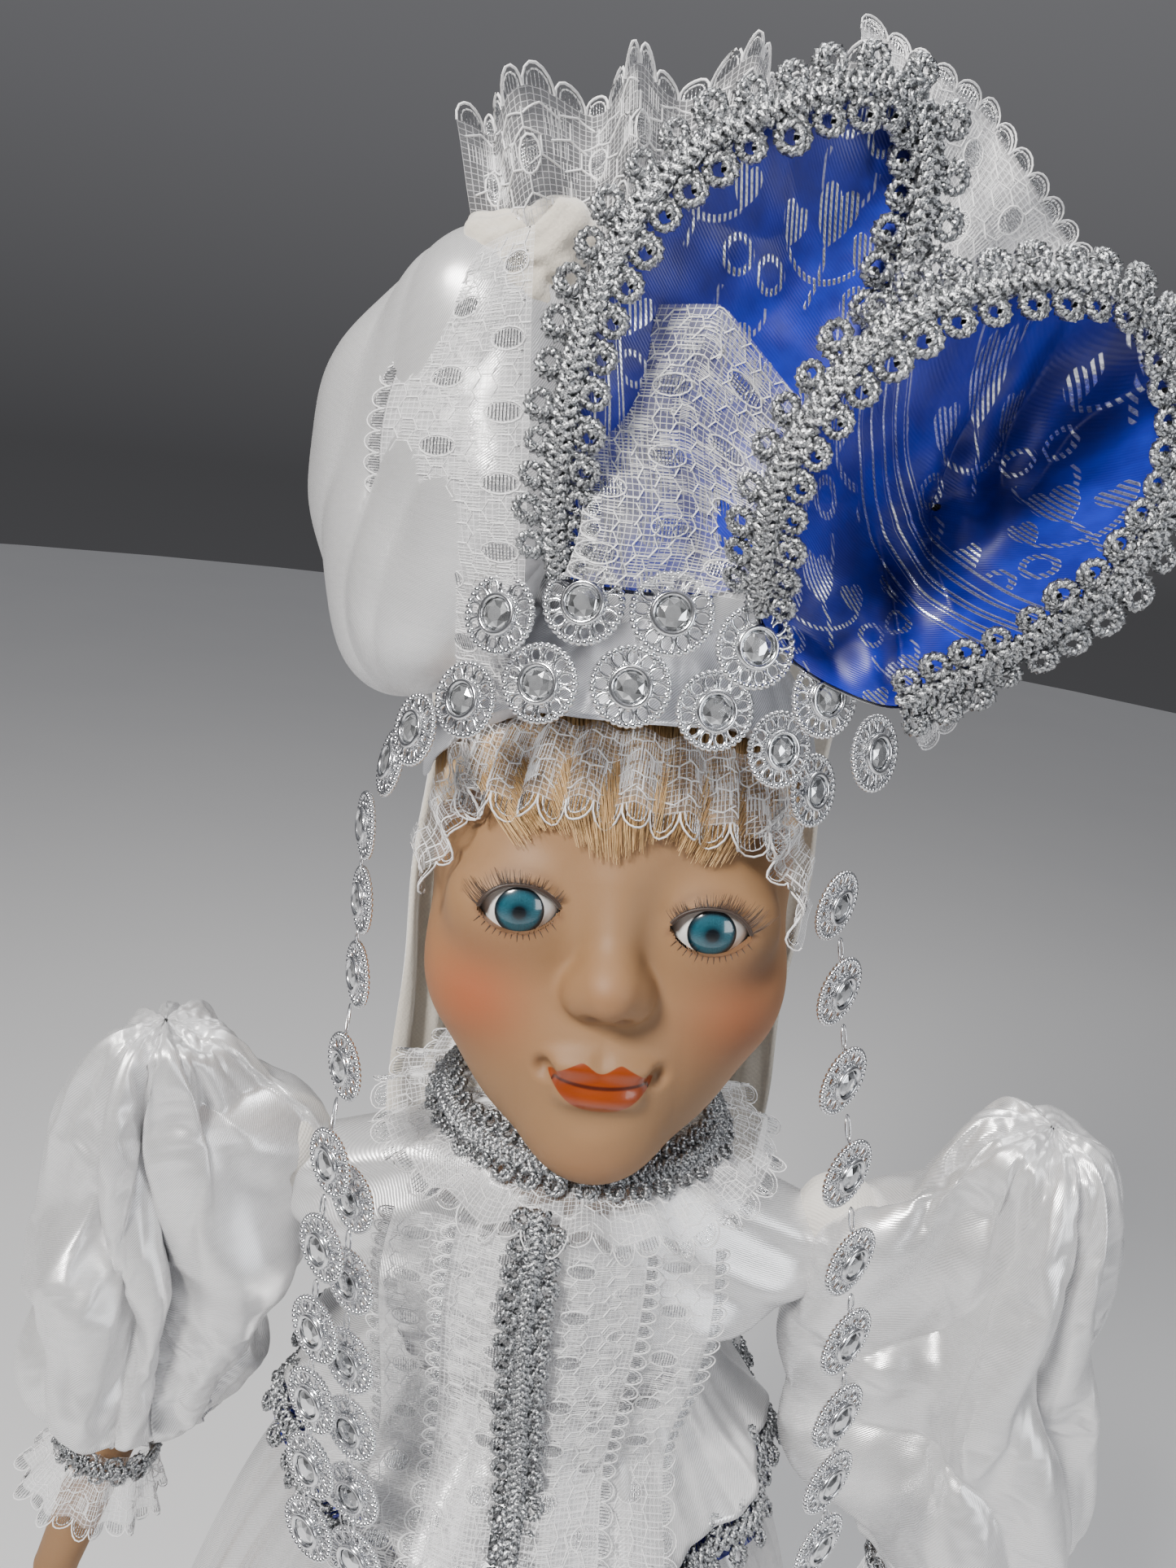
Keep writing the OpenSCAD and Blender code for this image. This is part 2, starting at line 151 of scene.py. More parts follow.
def ripple(u: Array, v: Array, seed: int, waves: int = 6, low: float = 1.0, high: float = 4.0) -> Array:
    """A smooth random field over u and v, about -1 to 1, made of a few sine waves.

    Args:
        u: first coordinate.
        v: second coordinate.
        seed: seed of the random directions.
        waves: how many sine waves are added.
        low: lowest frequency, in cycles per unit.
        high: highest frequency, in cycles per unit.

    Returns:
        The field at every point.
    """
    rng = np.random.default_rng(seed)
    total = np.zeros(np.broadcast(u, v).shape)
    for _ in range(waves):
        angle, phase = rng.uniform(0, 2 * np.pi, 2)
        f = rng.uniform(low, high) * 2 * np.pi
        total = total + np.sin(f * (np.cos(angle) * u + np.sin(angle) * v) + phase)
    return total / math.sqrt(waves)


# ---------------------------------------------------------------- meshes


def make_object(
    name: str,
    points: Array,
    faces: Array | Sequence[Sequence[int]],
    uv: Array | None = None,
    values: dict[str, Array] | None = None,
    shade_smooth: bool = True,
) -> bpy.types.Object:
    """Makes a mesh object from points in millimetres.

    Args:
        name: the object's name.
        points: vertex positions, one row each.
        faces: vertex numbers of each face.
        uv: one UV pair per vertex.
        values: named point attributes, floats or three-vectors.
        shade_smooth: whether faces are shaded smooth.

    Returns:
        The new object, linked to the scene.
    """
    mesh = bpy.data.meshes.new(name)
    face_list = faces.tolist() if isinstance(faces, np.ndarray) else [list(f) for f in faces]
    mesh.from_pydata((np.asarray(points, float) * MM).tolist(), [], face_list)
    mesh.polygons.foreach_set("use_smooth", [shade_smooth] * len(mesh.polygons))
    if uv is not None:
        layer = mesh.uv_layers.new(name="cloth")
        corner = np.zeros(len(mesh.loops), np.int32)
        mesh.loops.foreach_get("vertex_index", corner)
        layer.data.foreach_set("uv", np.asarray(uv, np.float32)[corner].ravel())
    for key, data in (values or {}).items():
        data = np.asarray(data, np.float32)
        kind = "FLOAT" if data.ndim == 1 else "FLOAT_VECTOR"
        attribute = mesh.attributes.new(key, kind, "POINT")
        attribute.data.foreach_set("value" if data.ndim == 1 else "vector", data.ravel())
    mesh.update()
    obj = bpy.data.objects.new(name, mesh)
    bpy.context.scene.collection.objects.link(obj)
    return obj


def grid_faces(rows: int, columns: int, wrap_rows: bool = False, wrap_columns: bool = False) -> Array:
    """Quads over a grid of vertices numbered row by row."""
    r = np.arange(rows if wrap_rows else rows - 1)
    c = np.arange(columns if wrap_columns else columns - 1)
    i, j = np.meshgrid(r, c, indexing="ij")
    i2, j2 = (i + 1) % rows, (j + 1) % columns
    return np.stack(
        [i * columns + j, i * columns + j2, i2 * columns + j2, i2 * columns + j], -1
    ).reshape(-1, 4)


def grid_object(
    name: str,
    points: Array,
    uv: Array | None = None,
    wrap_rows: bool = False,
    wrap_columns: bool = False,
    flip: bool = False,
    values: dict[str, Array] | None = None,
) -> bpy.types.Object:
    """Makes a surface object from a grid of points of shape (rows, columns, 3)."""
    rows, columns = points.shape[:2]
    faces = grid_faces(rows, columns, wrap_rows, wrap_columns)
    if flip:
        faces = faces[:, ::-1]
    flat_uv = None if uv is None else uv.reshape(-1, 2)
    flat_values = {k: a.reshape((rows * columns, -1)).squeeze() for k, a in (values or {}).items()}
    return make_object(name, points.reshape(-1, 3), faces, flat_uv, flat_values)


def frames_along(path: Array, up: Array | None = None, closed: bool = False) -> tuple[Array, Array, Array]:
    """Tangent, side and up directions along a path.

    Args:
        path: points along the way.
        up: a guide direction at each point, or None for a twist-free frame.
        closed: whether the path is a loop.

    Returns:
        Three arrays of unit vectors.
    """
    ahead = np.roll(path, -1, 0) - np.roll(path, 1, 0) if closed else np.gradient(path, axis=0)
    tangent = unit(ahead)
    if up is None:
        guide = np.zeros_like(path)
        start = np.array([0.0, 0.0, 1.0]) if abs(tangent[0, 2]) < 0.9 else np.array([0.0, 1.0, 0.0])
        for i, t in enumerate(tangent):
            start = start - t * (start @ t)
            start = start / max(np.linalg.norm(start), 1e-9)
            guide[i] = start
        up = guide
    up = unit(up - tangent * (up * tangent).sum(-1, keepdims=True))
    return tangent, unit(np.cross(tangent, up)), up


def tube_parts(
    path: Array, radius: float | Array, sides: int = 6, closed: bool = False, flat: float = 1.0
) -> tuple[Array, Array]:
    """Vertices and quads of a tube along a path.

    Args:
        path: points along the middle.
        radius: one radius, or one for each point.
        sides: how many sides the tube has.
        closed: whether the path is a loop.
        flat: height of the section as a share of its width.

    Returns:
        Vertex rows and face rows.
    """
    _, side, up = frames_along(path, closed=closed)
    radius = np.broadcast_to(np.asarray(radius, float), (len(path),))[:, None, None]
    a = np.linspace(0, 2 * np.pi, sides, endpoint=False)[None, :, None]
    ring = path[:, None] + radius * (np.cos(a) * side[:, None] + flat * np.sin(a) * up[:, None])
    return ring.reshape(-1, 3), grid_faces(len(path), sides, closed, True)


@dataclass
class MeshHeap:
    """Collects mesh pieces and joins them into one object."""

    points: list[Array] = field(default_factory=list)
    faces: list[Array] = field(default_factory=list)
    marks: list[Array] = field(default_factory=list)
    total: int = 0

    def add(self, points: Array, faces: Array, mark: float = 0.0) -> None:
        """Adds a piece of quads, with a number that its finish can read."""
        self.points.append(points)
        self.faces.append(np.asarray(faces) + self.total)
        self.marks.append(np.full(len(points), mark))
        self.total += len(points)

    def tube(
        self, path: Array, radius: float | Array, sides: int = 4, closed: bool = False, mark: float = 0.0
    ) -> None:
        """Adds a tube along a path."""
        self.add(*tube_parts(path, radius, sides, closed), mark)

    def finish(self, name: str, shade_smooth: bool = True) -> bpy.types.Object:
        """Joins what was collected into one object."""
        faces = [row for block in self.faces for row in block.tolist()]
        marks = {"mark": np.concatenate(self.marks)}
        return make_object(name, np.vstack(self.points), faces, None, marks, shade_smooth)


def thicken(obj: bpy.types.Object, wall: float, offset: float = 0.0) -> bpy.types.Object:
    """Gives a surface a wall, in millimetres, and applies it."""
    solidify = obj.modifiers.new("wall", "SOLIDIFY")
    solidify.thickness = wall * MM
    solidify.offset = offset
    return apply_modifiers(obj)


def soften(obj: bpy.types.Object, levels: int) -> bpy.types.Object:
    """Subdivides a piece smoothly and applies it."""
    subdivision = obj.modifiers.new("soft", "SUBSURF")
    subdivision.levels = levels
    subdivision.render_levels = levels
    return apply_modifiers(obj)


def apply_modifiers(obj: bpy.types.Object) -> bpy.types.Object:
    """Replaces a piece's mesh with its evaluated one and removes its modifiers."""
    graph = bpy.context.evaluated_depsgraph_get()
    graph.update()
    mesh = bpy.data.meshes.new_from_object(obj.evaluated_get(graph))
    obj.modifiers.clear()
    obj.data = mesh
    return obj


def join_objects(name: str, parts: Sequence[bpy.types.Object]) -> bpy.types.Object:
    """Joins objects, with their materials, into the first one."""
    with bpy.context.temp_override(active_object=parts[0], selected_editable_objects=list(parts)):
        bpy.ops.object.join()
    parts[0].name = name
    return parts[0]


def remeshed_copy(name: str, node: bpy.types.Object, voxel: float, rounds: int) -> bpy.types.Object:
    """Copies a frame node and melts its facets into one smooth skin.

    Args:
        name: the new object's name.
        node: the frame node to copy.
        voxel: size of the remesh cells, in millimetres.
        rounds: how many rounds of smoothing follow.

    Returns:
        The new object.
    """
    copy = bpy.data.objects.new(name, node.data.copy())
    bpy.context.scene.collection.objects.link(copy)
    copy.data.materials.clear()
    remesh = copy.modifiers.new("melt", "REMESH")
    remesh.mode = "VOXEL"
    remesh.voxel_size = voxel * MM
    remesh.use_smooth_shade = True
    relax = copy.modifiers.new("relax", "SMOOTH")
    relax.factor = 0.5
    relax.iterations = rounds
    return apply_modifiers(copy)


def place(
    obj: bpy.types.Object,
    body: Body,
    material: bpy.types.Material | None = None,
    stands_for: Sequence[str] = (),
) -> bpy.types.Object:
    """Dresses a finished piece, fastens it to a body and reports it.

    Args:
        obj: the piece.
        body: the body that it moves with.
        material: the material, or None to keep what it has.
        stands_for: frame nodes that the piece replaces.

    Returns:
        The same object.
    """
    if material is not None:
        obj.data.materials.clear()
        obj.data.materials.append(material)
    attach(obj, body.value)
    if stands_for:
        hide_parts(*stands_for)
    LOG.info("%s: %d faces on %s", obj.name, len(obj.data.polygons), body.value)
    return obj


def declare_sheet(
    cut: tuple[float, float],
) -> None:
    """Turns the size that a piece of cloth was cut to into metres, and keeps nothing; no piece is declared.

    Args:
        cut: width and length of the cut, in millimetres.
    """
    flat = (cut[0] * MM, cut[1] * MM)


# ---------------------------------------------------------------- shader and geometry node helpers


class Socket:
    """Wraps a node socket so that maths on it reads as an expression."""

    def __init__(self, tree: NodeGraph, socket: bpy.types.NodeSocket) -> None:
        """Keeps the tree and the socket."""
        self.tree = tree
        self.socket = socket

    def _maths(self, operation: str, *values: Socket | float) -> Socket:
        """Adds one Math node."""
        return self.tree.node("ShaderNodeMath", {"operation": operation}, list(values))

    def __add__(self, other: Socket | float) -> Socket:
        """Sum."""
        return self._maths("ADD", self, other)

    def __radd__(self, other: float) -> Socket:
        """Sum with a number on the left."""
        return self._maths("ADD", other, self)

    def __sub__(self, other: Socket | float) -> Socket:
        """Difference."""
        return self._maths("SUBTRACT", self, other)

    def __rsub__(self, other: float) -> Socket:
        """Difference with a number on the left."""
        return self._maths("SUBTRACT", other, self)

    def __mul__(self, other: Socket | float) -> Socket:
        """Product."""
        return self._maths("MULTIPLY", self, other)

    def __rmul__(self, other: float) -> Socket:
        """Product with a number on the left."""
        return self._maths("MULTIPLY", other, self)

    def __truediv__(self, other: Socket | float) -> Socket:
        """Quotient."""
        return self._maths("DIVIDE", self, other)

    def __mod__(self, other: float) -> Socket:
        """Remainder that stays positive."""
        return self._maths("FLOORED_MODULO", self, other)

    def __abs__(self) -> Socket:
        """Size without sign."""
        return self._maths("ABSOLUTE", self)

    def floor(self) -> Socket:
        """Next whole number below."""
        return self._maths("FLOOR", self)

    def sin(self) -> Socket:
        """Sine."""
        return self._maths("SINE", self)

    def least(self, other: Socket | float) -> Socket:
        """Smaller of two."""
        return self._maths("MINIMUM", self, other)

    def most(self, other: Socket | float) -> Socket:
        """Larger of two."""
        return self._maths("MAXIMUM", self, other)

    def power(self, exponent: float) -> Socket:
        """Power."""
        return self._maths("POWER", self, exponent)

    def root(self) -> Socket:
        """Square root."""
        return self._maths("SQRT", self)

    def step(self, low: float, high: float) -> Socket:
        """A soft step from 0 at low to 1 at high; low may be the larger."""
        settings = {"interpolation_type": "SMOOTHSTEP"}
        if low < high:
            return self.tree.node("ShaderNodeMapRange", settings, [self, low, high, 0.0, 1.0])
        return self.tree.node("ShaderNodeMapRange", settings, [self, high, low, 1.0, 0.0])


class NodeGraph:
    """Builds a node tree through one method."""

    def __init__(self, tree: bpy.types.NodeTree) -> None:
        """Empties the tree and keeps it."""
        self.tree = tree
        tree.nodes.clear()

    def node(
        self,
        kind: str,
        settings: dict[str, object] | None = None,
        inputs: Sequence[object] | dict[str | int, object] = (),
        output: str | int = 0,
    ) -> Socket:
        """Adds a node.

        Args:
            kind: the node's type name.
            settings: properties, which are set first; "ramp" holds a colour ramp's stops.
            inputs: values or sockets, in order or by socket name or number.
            output: which output to return.

        Returns:
            The wrapped output socket.
        """
        node = self.tree.nodes.new(kind)
        for key, value in (settings or {}).items():
            if key == "ramp":
                self._set_ramp(node.color_ramp, value)
            else:
                setattr(node, key, value)
        items = inputs.items() if isinstance(inputs, dict) else enumerate(inputs)
        for key, value in items:
            self.link(node, key, value)
        if not len(node.outputs):
            return Socket(self, None)
        return Socket(self, node.outputs[output])

    def link(self, node: bpy.types.Node, key: str | int, value: object) -> None:
        """Sets or links one input of a node."""
        if value is None:
            return
        target = node.inputs[key]
        if isinstance(value, Socket):
            self.tree.links.new(value.socket, target)
            return
        if isinstance(value, (tuple, list)) and target.type == "RGBA" and len(value) == 3:
            value = (*value, 1.0)
        target.default_value = value

    @staticmethod
    def _set_ramp(ramp: bpy.types.ColorRamp, stops: Sequence[tuple[float, Sequence[float]]]) -> None:
        """Gives a colour ramp its stops."""
        while len(ramp.elements) < len(stops):
            ramp.elements.new(0.5)
        for element, (place_at, colour) in zip(ramp.elements, stops):
            element.position = place_at
            element.color = (*colour, 1.0)


class Paint(NodeGraph):
    """A material under construction."""

    def __init__(self, name: str) -> None:
        """Makes an empty material."""
        self.material = bpy.data.materials.new(name)
        self.material.use_nodes = True
        super().__init__(self.material.node_tree)

    def split(self, vector: Socket) -> tuple[Socket, Socket, Socket]:
        """X, Y and Z of a vector."""
        first = self.node("ShaderNodeSeparateXYZ", None, [vector])
        outputs = first.socket.node.outputs
        return tuple(Socket(self, outputs[k]) for k in range(3))

    def vector(self, x: Socket | float, y: Socket | float, z: Socket | float = 0.0) -> Socket:
        """A vector from three numbers."""
        return self.node("ShaderNodeCombineXYZ", None, [x, y, z])

    def place(self) -> Socket:
        """Position on the piece in metres, in the doll's frame."""
        return self.node("ShaderNodeTexCoord", None, [], "Object")

    def cloth(self) -> Socket:
        """The piece's own cloth coordinates, in millimetres."""
        return self.node("ShaderNodeUVMap", {"uv_map": "cloth"})

    def value(self, name: str) -> Socket:
        """A point attribute of the mesh."""
        return self.node("ShaderNodeAttribute", {"attribute_name": name}, [], "Fac")

    def noise(self, at: Socket, scale: float, detail: float = 2.0, rough: float = 0.5) -> Socket:
        """Cloudy noise from 0 to 1."""
        return self.node(
            "ShaderNodeTexNoise", None, {"Vector": at, "Scale": scale, "Detail": detail, "Roughness": rough}
        )

    def ramp(self, factor: Socket, stops: Sequence[tuple[float, Sequence[float]]]) -> Socket:
        """Colours picked by a number."""
        return self.node("ShaderNodeValToRGB", {"ramp": stops}, [factor])

    def blend(self, factor: Socket | float, first: object, second: object) -> Socket:
        """Mixes two colours."""
        return self.node("ShaderNodeMix", {"data_type": "RGBA"}, {0: factor, 6: first, 7: second}, 2)

    def tint(self, colour: Socket, by: Socket) -> Socket:
        """Darkens a colour by a grey value."""
        grey = self.node("ShaderNodeCombineColor", None, [by, by, by])
        return self.node("ShaderNodeMix", {
            "data_type": "RGBA", "blend_type": "MULTIPLY"
        }, {0: 1.0, 6: colour, 7: grey}, 2)

    def bump(self, height: Socket, depth: float, under: Socket | None = None) -> Socket:
        """A normal from a height between 0 and 1, depth millimetres deep."""
        return self.node("ShaderNodeBump", None, {
            "Strength": 1.0, "Distance": depth * MM, "Height": height, "Normal": under
        })

    def surface(self, **inputs: object) -> bpy.types.Material:
        """Ends the material in one Principled shader.

        Args:
            inputs: socket names with underscores for spaces, and their values.

        Returns:
            The finished material.
        """
        named = {key.replace("_", " "): value for key, value in inputs.items()}
        shader = self.node("ShaderNodeBsdfPrincipled", None, named)
        self.node("ShaderNodeOutputMaterial", None, {"Surface": shader})
        return self.material


class Growth(NodeGraph):
    """A geometry node tree under construction, with named inputs."""

    def __init__(self, name: str, inputs: Sequence[tuple[str, str, object]]) -> None:
        """Makes the tree with its geometry input and the named ones.

        Args:
            name: the tree's name.
            inputs: name, socket type and default of each.
        """
        tree = bpy.data.node_groups.new(name, "GeometryNodeTree")
        super().__init__(tree)
        tree.interface.new_socket("Geometry", in_out="INPUT", socket_type="NodeSocketGeometry")
        for label, kind, default in inputs:
            socket = tree.interface.new_socket(label, in_out="INPUT", socket_type=kind)
            if default is not None:
                socket.default_value = default
        tree.interface.new_socket("Geometry", in_out="OUTPUT", socket_type="NodeSocketGeometry")
        self.start = tree.nodes.new("NodeGroupInput")

    def given(self, name: str) -> Socket:
        """A named input of the tree."""
        return Socket(self, self.start.outputs[name])

    def close(self, geometry: Socket, material: bpy.types.Material) -> bpy.types.NodeTree:
        """Ends the tree in Realize Instances and Set Material."""
        real = self.node("GeometryNodeRealizeInstances", None, [geometry])
        dressed = self.node("GeometryNodeSetMaterial", None, {"Geometry": real, "Material": material})
        self.node("NodeGroupOutput", None, [dressed])
        return self.tree


def grow(obj: bpy.types.Object, tree: bpy.types.NodeTree, **sizes: object) -> bpy.types.Object:
    """Runs a geometry node tree on an object and keeps the result as its plain mesh.

    Args:
        obj: the object whose mesh the tree reads.
        tree: the geometry node tree.
        sizes: values of the tree's named inputs.

    Returns:
        The object with its new mesh.
    """
    modifier = obj.modifiers.new("growth", "NODES")
    modifier.node_group = tree
    for item in tree.interface.items_tree:
        if item.item_type == "SOCKET" and item.in_out == "INPUT" and item.name in sizes:
            modifier[item.identifier] = sizes[item.name]
    return apply_modifiers(obj)


# ---------------------------------------------------------------- finishes


@dataclass(frozen=True)
class Bisque:
    """Matte unglazed porcelain with painted blush and glossy lips."""

    skin: tuple[float, float, float] = (0.27, 0.150, 0.070)
    blush: tuple[float, float, float] = (0.33, 0.085, 0.032)
    lips: tuple[float, float, float] = (0.20, 0.030, 0.002)
    seam: tuple[float, float, float] = (0.06, 0.008, 0.002)

    def painted(self) -> bpy.types.Material:
        """The face, whose mesh carries the attributes blush, lips, parting and shade."""
        p = Paint("painted_bisque")
        at = p.place()
        cloud = p.noise(at, 90.0, 3.0)
        grain = p.noise(at, 2600.0, 2.0)
        speck = p.noise(at, 5200.0, 1.0).step(0.66, 0.74)
        skin = p.blend(cloud.step(0.25, 0.8) * 0.5, self.skin, tuple(c * 0.86 for c in self.skin))
        skin = p.blend(p.value("shade"), skin, (0.14, 0.07, 0.036))
        skin = p.blend(p.value("blush") * (0.86 + grain * 0.28), skin, self.blush)
        skin = p.blend(speck * 0.07, skin, (0.25, 0.13, 0.08))
        mask = p.value("lips").step(-0.08, 0.12)
        lip_colour = p.blend(cloud.step(0.3, 0.7), self.lips, (0.24, 0.040, 0.004))
        lip_colour = p.blend(1.0 - abs(p.value("parting")).step(0.10, 0.42), lip_colour, self.seam)
        height = grain * 0.5 + cloud * 0.5
        return p.surface(
            Base_Color=p.blend(mask, skin, lip_colour),
            Roughness=0.56 - mask * 0.28 + grain * 0.06,
            Coat_Weight=mask * 0.35,
            Coat_Roughness=0.12,
            Specular_IOR_Level=0.4,
            Subsurface_Weight=0.12,
            Subsurface_Scale=0.004,
            Subsurface_Radius=(1.0, 0.45, 0.25),
            Normal=p.bump(height, 0.035),
        )

    def plain(self) -> bpy.types.Material:
        """Unpainted bisque of the hands, legs and shoulder plate."""
        p = Paint("plain_bisque")
        at = p.place()
        cloud = p.noise(at, 90.0, 3.0)
        grain = p.noise(at, 2600.0, 2.0)
        skin = p.blend(cloud.step(0.25, 0.8) * 0.6, self.skin, tuple(c * 0.82 for c in self.skin))
        return p.surface(
            Base_Color=p.blend(grain.step(0.62, 0.75) * 0.12, skin, self.blush),
            Roughness=0.52 + grain * 0.08,
            Specular_IOR_Level=0.4,
            Subsurface_Weight=0.12,
            Subsurface_Scale=0.004,
            Subsurface_Radius=(1.0, 0.45, 0.25),
            Normal=p.bump(grain, 0.03),
        )


@dataclass(frozen=True)
class DollEye:
    """White of the eye and a rayed iris, read from the attributes ring and turn."""

    iris_r: float = 3.75
    pupil_r: float = 0.95

    def made(self) -> bpy.types.Material:
        """The eye under its clear coat."""
        p = Paint("glass_eye")
        ring, turn = p.value("ring"), p.value("turn")
        rays = (turn * 78.0).sin() * 0.5 + 0.5
        finer = (turn * 141.0 + (ring * 2.3).sin()).sin() * 0.5 + 0.5
        flecks = p.noise(p.vector(turn * 9.0, ring * 0.8), 3.0, 3.0)
        light = (rays * 0.6 + finer * 0.4) * flecks.step(0.3, 0.62) * ring.step(self.pupil_r, 1.9)
        fade = ring.step(self.iris_r - 0.15, self.iris_r - 1.5)
        teal = p.ramp(ring / self.iris_r, [
            (0.0, (0.002, 0.003, 0.004)), (0.22, (0.003, 0.006, 0.009)), (0.30, (0.004, 0.030, 0.045)),
            (0.72, (0.006, 0.058, 0.085)), (0.88, (0.003, 0.018, 0.028)), (1.0, (0.001, 0.003, 0.005)),
        ])
        teal = p.blend(light * fade * 0.35, teal, (0.06, 0.27, 0.34))
        white = p.blend(p.noise(p.place(), 300.0).step(0.35, 0.7), (0.84, 0.83, 0.81), (0.78, 0.765, 0.74))
        edge = ring.step(self.iris_r - 0.1, self.iris_r + 0.12)
        return p.surface(
            Base_Color=p.blend(edge, teal, white),
            Roughness=0.22 + edge * 0.1,
            Coat_Weight=1.0,
            Coat_Roughness=0.02,
            Specular_IOR_Level=0.5,
        )


@dataclass(frozen=True)
class HairFibre:
    """Fine wig or lash fibre, read from the attribute mark."""

    name: str
    root: tuple[float, float, float]
    tip: tuple[float, float, float]
    rough: float = 0.38

    def made(self) -> bpy.types.Material:
        """The fibre, shaded strand by strand."""
        p = Paint(self.name)
        mark = p.value("mark")
        cloud = p.noise(p.place(), 420.0, 2.0)
        colour = p.blend(mark, self.root, self.tip)
        return p.surface(
            Base_Color=p.tint(colour, 0.72 + cloud * 0.5),
            Roughness=self.rough + cloud * 0.12,
            Specular_IOR_Level=0.6,
            Anisotropic=0.6,
            Sheen_Weight=0.15,
        )


@dataclass(frozen=True)
class Satin:
    """Smooth white satin: fine slanting floats under a soft gloss. Cloth coordinates are in millimetres."""

    name: str = "white_satin"
    colour: tuple[float, float, float] = (0.78, 0.78, 0.79)
    rough: float = 0.23
    floats: float = 15.0

    def made(self) -> bpy.types.Material:
        """The satin."""
        p = Paint(self.name)
        uv = p.cloth()
        u, v, _ = p.split(uv)
        drift = p.noise(uv, 0.35, 2.0)
        rib = ((u * 0.8 + v + drift * 0.5) * self.floats).sin() * 0.5 + 0.5
        slub = p.noise(p.vector(u * 0.15, v * 2.5), 1.0, 3.0)
        shade = p.blend(slub.step(0.35, 0.75), self.colour, tuple(c * 0.93 for c in self.colour))
        return p.surface(
            Base_Color=p.tint(shade, 0.955 + rib * 0.045),
            Roughness=self.rough + rib * 0.08 + drift * 0.05,
            Specular_IOR_Level=0.62,
            Metallic=0.55,
            Normal=p.bump(rib * 0.6 + slub * 0.4, 0.03),
        )


@dataclass(frozen=True)
class Woven:
    """Plain or fuzzy cloth with a crossed weave. Cloth coordinates are in millimetres."""

    name: str
    colour: tuple[float, float, float]
    thread: float = 0.5
    fuzz: float = 0.2

    def made(self) -> bpy.types.Material:
        """The cloth."""
        p = Paint(self.name)
        x, y, z = p.split(p.place())
        turn = math.pi / (self.thread * MM)
        weave = ((x + y) * turn).sin() * ((z + y * 0.3) * turn).sin() * 0.5 + 0.5
        tuft = p.noise(p.place(), 1500.0, 3.0, 0.7)
        cloud = p.noise(p.place(), 60.0, 3.0)
        colour = p.blend(cloud.step(0.3, 0.75), self.colour, tuple(c * 0.86 for c in self.colour))
        return p.surface(
            Base_Color=p.tint(colour, 0.86 + weave * 0.08 + tuft * 0.1),
            Roughness=0.78 + tuft * 0.12,
            Specular_IOR_Level=0.25,
            Sheen_Weight=self.fuzz,
            Sheen_Roughness=0.5,
            Normal=p.bump(weave * (1 - self.fuzz) + tuft * self.fuzz * 1.6, 0.12),
        )


@dataclass(frozen=True)
class Thread:
    """Lace thread: white cotton where mark is 0, silver tinsel where it is 1."""

    name: str = "lace_thread"
    white: tuple[float, float, float] = (0.86, 0.86, 0.87)
    tinsel: tuple[float, float, float] = (0.80, 0.81, 0.83)

    def made(self) -> bpy.types.Material:
        """The thread."""
        p = Paint(self.name)
        mark = p.value("mark").step(0.4, 0.6)
        glint = p.noise(p.place(), 2600.0, 2.0)
        bright = p.blend(glint.step(0.35, 0.7), self.tinsel, (0.28, 0.29, 0.31))
        return p.surface(
            Base_Color=p.blend(mark, self.white, bright),
            Metallic=mark,
            Roughness=0.62 - mark * 0.42 + glint * 0.1,
            Specular_IOR_Level=0.45,
            Normal=p.bump(p.noise(p.place(), 5000.0, 1.0), 0.05),
        )


@dataclass(frozen=True)
class Tulle:
    """The fine ground of the lace, mostly clear. Cloth coordinates are in millimetres."""

    name: str = "tulle"
    cover: float = 0.22
    thread: float = 0.8

    def made(self) -> bpy.types.Material:
        """The net ground."""
        p = Paint(self.name)
        uv = p.cloth()
        u, v, _ = p.split(uv)
        turn = math.pi / self.thread
        lines = abs((u * turn).sin()).step(0.35, 0.1).most(abs((v * turn).sin()).step(0.3, 0.08))
        cloud = p.noise(uv, 0.25, 2.0)
        return p.surface(
            Base_Color=p.blend(cloud, (0.88, 0.88, 0.89), (0.80, 0.80, 0.83)),
            Roughness=0.7,
            Alpha=(self.cover * 0.35 + lines * 0.5 + cloud.step(0.45, 0.75) * 0.12).least(0.9),
            Specular_IOR_Level=0.3,
            Sheen_Weight=0.2,
        )


@dataclass(frozen=True)
class SilverCord:
    """Twisted silver braid of tinsel over thread; the attribute mark runs along each cord."""

    name: str = "silver_cord"
    bright: tuple[float, float, float] = (0.66, 0.675, 0.69)
    dark: tuple[float, float, float] = (0.13, 0.135, 0.145)

    def made(self) -> bpy.types.Material:
        """The cord."""
        p = Paint(self.name)
        at = p.place()
        glint = p.noise(at, 3200.0, 2.0, 0.7)
        tarnish = p.noise(at, 130.0, 2.0)
        metal = p.blend(glint.step(0.38, 0.62), self.bright, self.dark)
        metal = p.blend(tarnish.step(0.5, 0.8) * 0.4, metal, (0.42, 0.44, 0.46))
        return p.surface(
            Base_Color=metal,
            Metallic=0.92,
            Roughness=0.2 + glint * 0.25,
            Normal=p.bump(glint, 0.14),
        )


@dataclass(frozen=True)
class BrightPlastic:
    """Metallised plastic of the rosettes."""

    name: str = "bright_plastic"

    def made(self) -> bpy.types.Material:
        """The plated plastic."""
        p = Paint(self.name)
        at = p.place()
        wear = p.noise(at, 900.0, 3.0)
        tone = p.blend(wear.step(0.52, 0.72), (0.83, 0.84, 0.86), (0.60, 0.61, 0.64))
        return p.surface(
            Base_Color=tone,
            Metallic=1.0,
            Roughness=0.11 + wear * 0.16,
            Normal=p.bump(p.noise(at, 1500.0, 2.0), 0.02),
        )


